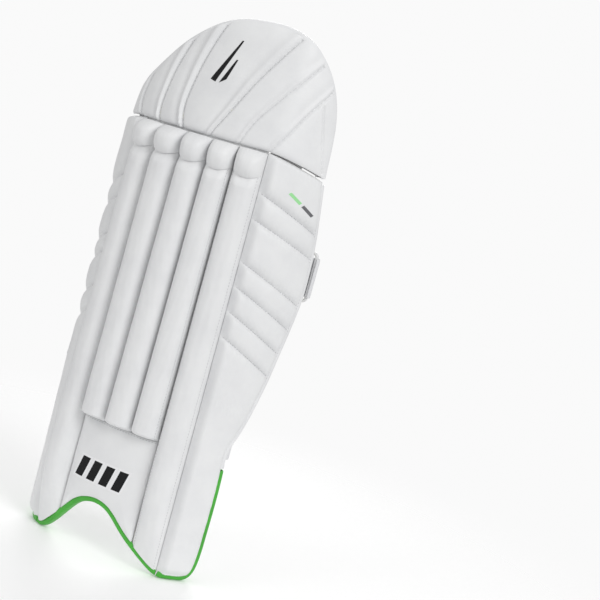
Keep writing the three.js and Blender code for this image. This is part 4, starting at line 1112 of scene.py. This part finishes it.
# ------------------------------------------------------------------ straps, rings, keepers
def webbing_profile(points, normals, z0, z1, thick, name, mat, body, slot_name, nodes, J=30, ripple=0.25, seed=1):
    """Flat webbing: an edge-bound band along a plan line; points in metres (x, y), normals in plan."""
    pts, nr = np.asarray(points, float), np.asarray(normals, float)
    zz = np.linspace(0, 1, J)
    zz = 0.5 - 0.5 * np.cos(np.pi * zz)
    K = len(pts)
    half = thick / 2 * (1 - 0.55 * np.abs(2 * zz - 1) ** 14)
    L = np.concatenate([[0], np.cumsum(np.linalg.norm(np.diff(pts, axis=0), axis=1))]) * 1000
    wob = ripple * wavy(L[:, None] + 0 * zz[None, :], zz[None, :] * 56, seed, 60) * np.sin(np.pi * np.clip(L / L[-1], 0, 1))[:, None] / 1000
    V = []
    for sgn in (1, -1):
        xy = pts[:, None, :] + nr[:, None, :] * (sgn * half[None, :, None] + wob[:, :, None])
        z = np.broadcast_to(lerp(z0, z1, zz)[None, :], (K, J))
        V.append(np.concatenate([xy, z[:, :, None]], -1))
    V = np.array(V).reshape(-1, 3)
    faces = grid_faces(K, J) + grid_faces(K, J, K * J, True)
    rim = [i * J for i in range(K)] + [(K - 1) * J + j for j in range(1, J)] + [i * J + J - 1 for i in range(K - 2, -1, -1)] + [j for j in range(J - 2, 0, -1)]
    for k in range(len(rim)):
        a, b = rim[k], rim[(k + 1) % len(rim)]
        faces.append([b, a, a + K * J, b + K * J])
    ob = new_object(name, V, faces, mat, sharp=60)
    # the weave follows the strap: u along it, v across it
    me = ob.data
    co = np.zeros(len(me.vertices) * 3); me.vertices.foreach_get("co", co); co = co.reshape(-1, 3)
    from mathutils.kdtree import KDTree
    kd = KDTree(K)
    for i, p in enumerate(pts):
        kd.insert((p[0], p[1], 0), i)
    kd.balance()
    uvv = np.array([[L[kd.find((c[0], c[1], 0))[1]] / 1000, c[2]] for c in co])
    idx = np.zeros(len(me.loops), int); me.loops.foreach_get("vertex_index", idx)
    me.uv_layers["UVMap"].data.foreach_set("uv", uvv[idx].ravel())
    place(ob, body, slot_name, *nodes)
    return ob


def bez(p0, p1, p2, p3, t):
    t = np.asarray(t, float)[:, None]
    c = (1 - t) ** 3 * p0 + 3 * (1 - t) ** 2 * t * p1 + 3 * (1 - t) * t * t * p2 + t ** 3 * p3
    d = 3 * (1 - t) ** 2 * (p1 - p0) + 6 * (1 - t) * t * (p2 - p1) + 3 * t * t * (p3 - p2)
    d /= np.linalg.norm(d, axis=1)[:, None]
    return c, np.stack([-d[:, 1], d[:, 0]], -1)


def rot2(v, a):
    return np.array([v[0] * math.cos(a) - v[1] * math.sin(a), v[0] * math.sin(a) + v[1] * math.cos(a)])


def normals_of(line):
    t = np.gradient(line, axis=0)
    t /= np.linalg.norm(t, axis=1)[:, None] + 1e-12
    return np.stack([-t[:, 1], t[:, 0]], -1)


def strap_set(name, zc, s_bar, n_bar, leads):
    e_in = -float(np.interp(zc, np.array(INNER_REAR)[:, 1], np.array(INNER_REAR)[:, 0]))
    x, y, nx, ny, tx, ty = [float(v) for v in plan(s_bar)]
    A_ = np.array([x - n_bar * nx, y - n_bar * ny])
    back = math.atan2(ty, tx)
    xi, yi, nxi, nyi, txi, tyi = [float(v) for v in plan(e_in)]
    H = np.array([xi - 4.0 * txi - 9.2 * nxi, yi - 4.0 * tyi - 9.2 * nyi])
    u0 = (A_ - H) / np.linalg.norm(A_ - H)
    bow = math.radians(15)
    u = rot2(u0, -bow); v = np.array([-u[1], u[0]])
    Bc = A_ - 26 * u
    at2 = lambda a, b: Bc + a * u + b * v
    r = 5.2
    p3 = at2(-20, -r)
    span = np.linalg.norm(p3 - H) / 3
    p1 = H + span * rot2(u0, bow); p2 = p3 - span * u
    O = np.array([OX, OY])
    z0, z1 = (zc - 28) / 1000, (zc + 28) / 1000
    web_t = 2.0
    # main webbing and its turn round the ring
    c, nrm = bez(H, p1, p2, p3, np.linspace(0.012, 1, 90))
    turn = [at2(-10, -r), at2(0, -r)] + [at2(r * math.cos(t), r * math.sin(t)) for t in np.linspace(-math.pi / 2, math.pi / 2, 25)[1:]]
    line = resample(np.vstack([c, turn]), 1.6)
    ob = webbing_profile((line + O) / 1000, normals_of(line), z0, z1, web_t / 1000, name + "_strap_band", M_WEB, name + "_strap", "webbing", [name + "_strap_webbing"], seed=5 + int(zc))
    Ls = float(np.linalg.norm(np.diff(line, axis=0), axis=1).sum()) / 1000
    # loop tape on its outer face
    c, nrm = bez(H, p1, p2, p3, np.linspace(0.132, 0.792, 60))
    l2 = c + nrm * (1.0 + 0.15 + 0.5)
    webbing_profile((l2 + O) / 1000, nrm, z0 + 0.004, z1 - 0.004, 0.001, name + "_loop_tape", M_LOOP, name + "_strap", "hook_and_loop", [name + "_loop_patch"], ripple=0.0)
    # tail
    off = 2.0 + 2.0 + 1.2
    c, nrm = bez(H, p1, p2, p3, np.linspace(0.852, 0.075, 80))
    tail = np.vstack([[at2(-0.4, r)], [at2(-10, r)], [at2(-20, r)], c + nrm * off])
    line = resample(tail, 1.6)
    line_n = -normals_of(line)
    ob = webbing_profile((line + O) / 1000, line_n, z0, z1, web_t / 1000, name + "_strap_tail", M_WEB, name + "_tail", "webbing", [name + "_tail_webbing"], seed=9 + int(zc))
    Lt = float(np.linalg.norm(np.diff(line, axis=0), axis=1).sum()) / 1000
    c, nrm = bez(H, p1, p2, p3, np.linspace(0.192, 0.432, 40))
    l3 = c + nrm * (off - 1.65)
    webbing_profile((l3 + O) / 1000, nrm, z0 + 0.004, z1 - 0.004, 0.001, name + "_hook_tape", M_HOOK, name + "_tail", "hook_and_loop", [name + "_hook_patch"], ripple=0.0)
    # box stitching at the tail's end and along both edges of the tail and the strap
    cc, nn = bez(H, p1, p2, p3, np.linspace(0.80, 0.09, 70))

    def band_stitch(tag, line2, nrm2, zline, body):
        X = np.concatenate([(line2 + O) / 1000, np.full((len(line2), 1), zline / 1000)], -1)
        N = np.concatenate([nrm2, np.zeros((len(nrm2), 1))], -1)
        stitches(f"{name}_{tag}", X, N, M_THREAD, body, "webbing", pitch=3.6, length=2.3, rad=0.28, sink=0.02)
    outer = cc + nn * (off + 1.0)
    band_stitch("tail_stitching_top", outer, nn, zc + 25.5, name + "_tail")
    band_stitch("tail_stitching_bottom", outer, nn, zc - 25.5, name + "_tail")
    ce, ne = bez(H, p1, p2, p3, np.array([0.105, 0.104]))
    zz = np.linspace(zc - 25, zc + 25, 30)
    for q, tq in enumerate((0.088, 0.115)):
        ce, ne = bez(H, p1, p2, p3, np.array([tq, tq + 1e-4]))
        pe = ce[0] + ne[0] * (off + 1.0)
        X = np.stack([np.full(30, (pe[0] + OX) / 1000), np.full(30, (pe[1] + OY) / 1000), zz / 1000], -1)
        N = np.repeat(np.array([[ne[0][0], ne[0][1], 0]]), 30, 0)
        stitches(f"{name}_tail_end_stitching_{q+1}", X, N, M_THREAD, name + "_tail", "webbing", pitch=3.6, length=2.3, rad=0.28, sink=0.02)
    # label: pale pentagon, green line, generic mark of two bars
    a = bez(H, p1, p2, p3, np.array([0.1, 0.1001])); b = bez(H, p1, p2, p3, np.array([0.3, 0.3001]))
    ts = np.linspace(0.06, 0.36, 200)
    cl, nl = bez(H, p1, p2, p3, ts)
    Ll = np.concatenate([[0], np.cumsum(np.linalg.norm(np.diff(cl, axis=0), axis=1))])
    l0 = float(np.interp(0.1, ts, Ll))

    def on_tail(x, yv, lift):
        """Point on the tail's outer face: x along it from the label's start, yv across, in mm."""
        i = l0 + np.asarray(x, float)
        px = np.interp(i, Ll, cl[:, 0]); py = np.interp(i, Ll, cl[:, 1])
        qx = np.interp(i, Ll, nl[:, 0]); qy = np.interp(i, Ll, nl[:, 1])
        h = off + 1.0 + lift
        return np.stack([(px + qx * h + OX) / 1000, (py + qy * h + OY) / 1000, (zc + np.asarray(yv, float)) / 1000], -1)

    def patch(tag, poly, lift, thick, mat, nodes=()):
        bm = bmesh.new()
        bm.faces.new([bm.verts.new((px, py, 0)) for px, py in poly])
        bmesh.ops.triangulate(bm, faces=bm.faces[:])
        for _ in range(6):
            long = [e for e in bm.edges if e.calc_length() > 2.5]
            if not long:
                break
            bmesh.ops.subdivide_edges(bm, edges=long, cuts=1)
            bmesh.ops.triangulate(bm, faces=[f for f in bm.faces if len(f.verts) > 3])
        bm.verts.index_update()
        xs = np.array([w.co.x for w in bm.verts]); ys = np.array([w.co.y for w in bm.verts])
        T, Bk = on_tail(xs, ys, lift + thick), on_tail(xs, ys, lift)
        tris = [[w.index for w in f.verts] for f in bm.faces]
        rim = [[w.index for w in e.verts] for e in bm.edges if e.is_boundary]
        n = len(xs)
        bm.free()
        ob = new_object(f"{name}_{tag}", np.vstack([T, Bk]), tris + [[i + n for i in reversed(t)] for t in tris] + [[p, q, q + n, p + n] for p, q in rim], mat, sharp=40)
        place(ob, name + "_tail", "label", *nodes)
        return ob
    poly = [(1, 15), (47, 16), (49.5, 1), (41, -9.5), (6, -18)]
    patch("label_patch", poly, 0.15, 0.9, M_PALE, [name + "_label"])

    def inset_poly(p, d):
        p = np.array(p, float)
        if np.sum(p[:, 0] * np.roll(p[:, 1], -1) - np.roll(p[:, 0], -1) * p[:, 1]) < 0:
            p = p[::-1]
        out = []
        for i in range(len(p)):
            a1, b1, c1 = p[i - 1], p[i], p[(i + 1) % len(p)]
            e1, e2 = (b1 - a1) / np.linalg.norm(b1 - a1), (c1 - b1) / np.linalg.norm(c1 - b1)
            n1, n2 = np.array([-e1[1], e1[0]]), np.array([-e2[1], e2[0]])
            bis = (n1 + n2) / np.linalg.norm(n1 + n2)
            out.append(b1 + bis * d / (bis @ n1))
        return np.array(out)
    o1, o2 = inset_poly(poly, 2.6), inset_poly(poly, 3.7)
    for k in range(5):
        patch(f"label_line_{k+1}", [o1[k], o1[(k + 1) % 5], o2[(k + 1) % 5], o2[k]], 1.05, 0.14, M_GLINE)
    for k, (x0, w) in enumerate(((12, 5), (20, 5), (28, 5))):
        patch(f"label_bar_{k+1}", [(x0, -6.0 + k * 0.8), (x0 + w, -6.0 + k * 0.8), (x0 + w + 3.5, 7.5), (x0 + 3.5, 7.5)], 1.05, 0.16, M_BLACK)
    # ring: a round bar bent into a rounded rectangle
    w0, w1, hh, rc = 0.0, 26.0, (59 + 4) / 2, 4.5
    path = []
    for cx, cy, a0 in ((w1 - rc, hh - rc, 0), (w0 + rc, hh - rc, 90), (w0 + rc, -hh + rc, 180), (w1 - rc, -hh + rc, 270)):
        for a in np.linspace(a0, a0 + 90, 8):
            path.append((cx + rc * math.cos(math.radians(a)), cy + rc * math.sin(math.radians(a))))
    path = np.array(path + [path[0]])
    path = resample(path, 2.0)[:-1]
    tdir = np.roll(path, -1, 0) - np.roll(path, 1, 0)
    tdir /= np.linalg.norm(tdir, axis=1)[:, None]
    rings = []
    for p, t in zip(path, tdir):
        nv = np.array([-t[1], t[0]])
        ring = []
        for a in np.linspace(0, math.tau, 14, endpoint=False):
            ca, sa = math.cos(a), math.sin(a)
            # slightly flattened bar, with a moulding line round its middle
            k = 1 - 0.05 * math.exp(-(sa / 0.14) ** 2)
            d1 = nv * 2.15 * k * math.copysign(abs(ca) ** 0.8, ca)
            q = at2(p[0] + d1[0], 2.05 * k * math.copysign(abs(sa) ** 0.8, sa))
            ring.append(((q[0] + OX) / 1000, (q[1] + OY) / 1000, (zc + p[1] + d1[1]) / 1000))
        rings.append(ring)
    ob = sweep(name + "_ring_frame", rings, M_PLASTIC, closed=True, sharp=70)
    place(ob, name + "_ring", "ring_plastic", name + "_ring")
    # keeper: tape sewn to the lining and closed round the ring's bar
    tape = [np.array(plan(s_bar + d)[:2]) - 6.8 * np.array(plan(s_bar + d)[2:4]) for d in leads]
    tape += [A_ + 4.4 * np.array([math.cos(t), math.sin(t)]) for t in (back + math.pi * 0.72 - (k / 20) * math.pi * 1.5 for k in range(21))]
    tl = catmull(tape, 1.5)
    webbing_profile((tl + O) / 1000, normals_of(tl), z0 + 0.002, z1 - 0.002, 0.0015, name + "_keeper_tape", M_EDGE, "outer_wing", "webbing", [name + "_ring_keeper"], ripple=0.0)
    an = np.array([np.array(plan(e_in + d)[:2]) - 7.2 * np.array(plan(e_in + d)[2:4]) for d in np.linspace(27, 6, 14)])
    webbing_profile((an + O) / 1000, normals_of(an), z0, z1, 0.0016, name + "_strap_patch", M_WEB, "inner_wing", "webbing", [name + "_strap_anchor"], ripple=0.0)
    for q, d in enumerate((9.5, 23.5)):
        px, py, qx, qy, _, _ = [float(w) for w in plan(e_in + d)]
        xy = np.array([px, py]) - 8.0 * np.array([qx, qy])
        zz = np.linspace(zc - 25, zc + 25, 30)
        X = np.stack([np.full(30, (xy[0] + OX) / 1000), np.full(30, (xy[1] + OY) / 1000), zz / 1000], -1)
        N = np.repeat(np.array([[-qx, -qy, 0]]), 30, 0)
        stitches(f"{name}_anchor_stitching_{q+1}", X, N, M_THREAD, "inner_wing", "webbing", pitch=3.6, length=2.3, rad=0.28, sink=0.02)
    return Ls, Lt


LEN = {"upper": strap_set("upper", 410, 220, 6.0, (-58, -51, -44, -38, -32, -27, -22, -16, -11)), "lower": strap_set("lower", 188, 154, 12.2, (-30, -27, -24, -21, -18, -15, -11))}

# ------------------------------------------------------------------ generic prints
def para(cx, cz, w, h, skew, tilt=0.0):
    pts = [(-w / 2 - skew / 2, -h / 2), (w / 2 - skew / 2, -h / 2), (w / 2 + skew / 2, h / 2), (-w / 2 + skew / 2, h / 2)]
    c, s = math.cos(tilt), math.sin(tilt)
    return [(cx + x * c - z * s, cz + x * s + z * c) for x, z in pts]


# instep: three slanted bars with white edges
for k in range(4):
    cx = -34 + k * 19
    decal(f"instep_mark_edge_{k+1}", para(cx, 105, 18, 33, 8), instep_n, M_WPRINT, "shin", "facing", lift=0.16)
    decal(f"instep_mark_{k+1}", para(cx, 105, 12, 27, 6.6), instep_n, M_BLACK, "shin", "facing", lift=0.30)
# top hat: a slim generic chevron
decal("top_hat_mark_1", [(0, 620), (7, 618), (27, 674), (25, 674)], hat_n, M_BLACK, "top_hat", "facing", lean=True)
decal("top_hat_mark_2", [(12, 618), (20, 624), (27, 650), (25, 650)], hat_n, M_BLACK, "top_hat", "facing", lean=True)
# outer wing's top panel: a small two-tone bar
nw = lambda s, z: NW[1](s, z)
for k, (a0, mt) in enumerate(((0.0, M_LGREEN), (1.0, M_GREY))):
    s0, zz0 = 138 + a0 * 21.0, 507 - a0 * 12.0
    decal(f"wing_print_{k+1}", para(s0, zz0, 20, 4.0, 1.5, math.radians(-30)), nw, mt, "outer_wing", "facing", cell=2.0, lift=0.2)

# back of the top hat: two hatched bands that meet in a V, dark wedges beside them and a plain shield
hb = hat_back_n
back_kw = dict(lean=True, flip=True)
decal("hat_band_left", [(66, 566), (86, 566), (150, 634), (138, 650)], hb, M_HATCH, "top_hat", "lining", **back_kw)
decal("hat_band_right", [(-22, 566), (-42, 566), (-86, 606), (-78, 620)], hb, M_HATCH2, "top_hat", "lining", **back_kw)
decal("hat_wedge_left", [(98, 566), (112, 566), (156, 610), (150, 614)], hb, M_BLACK, "top_hat", "lining", **back_kw)
decal("hat_wedge_right", [(-54, 566), (-66, 566), (-96, 594), (-92, 598)], hb, M_BLACK, "top_hat", "lining", **back_kw)
for k in range(3):
    decal(f"hat_lining_mark_{k+1}", para(62 - k * 30, 632, 19, 58, -13), hb, M_BLACK if k != 1 else M_LGREEN, "top_hat", "lining", **back_kw)
# centre strip: hatch blocks and plain bars
for k in range(8):
    zc = 176 + k * 46
    if abs(zc - 410) < 30 or abs(zc - 188) < 26:
        continue
    decal(f"strip_hatch_{k+1}", para(0, zc - 1, 20, 17, -5), strip_n, M_HATCH, "shin", "lining", flip=True)
    decal(f"strip_bar_{k+1}", para(0, zc + 27, 32, 6.5, -3), strip_n, M_BLACK, "shin", "lining", flip=True)
    decal(f"strip_tick_{k+1}", para(0, zc + 15.5, 32, 6.5, -3), strip_n, M_BLACK, "shin", "lining", flip=True)

# ------------------------------------------------------------------ studio
def area(name, loc, target, size, power, color=(1, 1, 1)):
    d = bpy.data.lights.new(name, "AREA")
    d.energy, d.size, d.color = power, size, color
    o = bpy.data.objects.new(name, d)
    bpy.context.scene.collection.objects.link(o)
    o.location = loc
    o.rotation_euler = (Vector(target) - Vector(loc)).to_track_quat("-Z", "Y").to_euler()
    return o


area("key", (2.2, -1.2, 1.8), (0, 0, 0.38), 1.2, 33)
area("fill", (-1.4, -2.2, 2.2), (0, 0, 0.35), 1.8, 13)
area("back_fill", (-1.2, 2.4, 1.6), (0, 0, 0.35), 1.5, 36)
w = bpy.data.worlds.new("studio")
bpy.context.scene.world = w
w.use_nodes = True
nt = w.node_tree
bg = nt.nodes["Background"]
bg.inputs["Color"].default_value = (1, 1, 1, 1)
bg.inputs["Strength"].default_value = 0.57
bg2 = nt.nodes.new("ShaderNodeBackground")
bg2.inputs["Color"].default_value = (0.955, 0.955, 0.955, 1)
bg2.inputs["Strength"].default_value = 1.0
lp = nt.nodes.new("ShaderNodeLightPath")
mx = nt.nodes.new("ShaderNodeMixShader")
out = nt.nodes["World Output"]
nt.links.new(lp.outputs["Is Camera Ray"], mx.inputs[0])
nt.links.new(bg.outputs[0], mx.inputs[1])
nt.links.new(bg2.outputs[0], mx.inputs[2])
nt.links.new(mx.outputs[0], out.inputs["Surface"])
bpy.context.scene.view_settings.view_transform = "Standard"

# pale round floor that fades into the background
m, nt, b = nodes_of("pale_floor")
tc = node(nt, "ShaderNodeTexCoord")
ln = nt.nodes.new("ShaderNodeVectorMath"); ln.operation = "LENGTH"
link(nt, tc.outputs["Object"], ln.inputs[0])
mr = node(nt, "ShaderNodeMapRange")
mr.inputs["From Min"].default_value, mr.inputs["From Max"].default_value = 0.30, 0.95
mr.inputs["To Min"].default_value, mr.inputs["To Max"].default_value = 1.0, 0.0
mr.interpolation_type = "SMOOTHSTEP"
link(nt, ln.outputs["Value"], mr.inputs["Value"])
link(nt, mr.outputs["Result"], b.inputs["Alpha"])
b.inputs["Base Color"].default_value = (0.86, 0.86, 0.86, 1)
b.inputs["Roughness"].default_value = 0.9
b.inputs["Emission Color"].default_value = (1, 1, 1, 1)
b.inputs["Emission Strength"].default_value = 0.14
floor = new_object("floor", [(math.cos(a) * 1.0, math.sin(a) * 1.0, -0.0006) for a in np.linspace(0, math.tau, 64, endpoint=False)], [list(range(64))], m, smooth=False)

cam_d = bpy.data.cameras.new("camera")
cam = bpy.data.objects.new("camera", cam_d)
bpy.context.scene.collection.objects.link(cam)
bpy.context.scene.camera = cam
cam_d.lens, cam_d.sensor_width = 81.0, 36.0
cam_d.clip_start, cam_d.clip_end = 0.05, 30
az, el, roll, D = math.radians(24.3), math.radians(7.6), math.radians(15.5), 1.6
T = np.array([(193 + OX) / 1000, (0 + OY) / 1000, 0.397])
d = np.array([math.sin(az) * math.cos(el), -math.cos(az) * math.cos(el), math.sin(el)])
fwd = -d
right = np.cross(fwd, [0, 0, 1]); right /= np.linalg.norm(right)
up = np.cross(right, fwd)
r2 = math.cos(roll) * right + math.sin(roll) * up
u2 = -math.sin(roll) * right + math.cos(roll) * up
M = Matrix(((r2[0], u2[0], d[0], T[0] + D * d[0]), (r2[1], u2[1], d[1], T[1] + D * d[1]), (r2[2], u2[2], d[2], T[2] + D * d[2]), (0, 0, 0, 1)))
cam.matrix_world = M
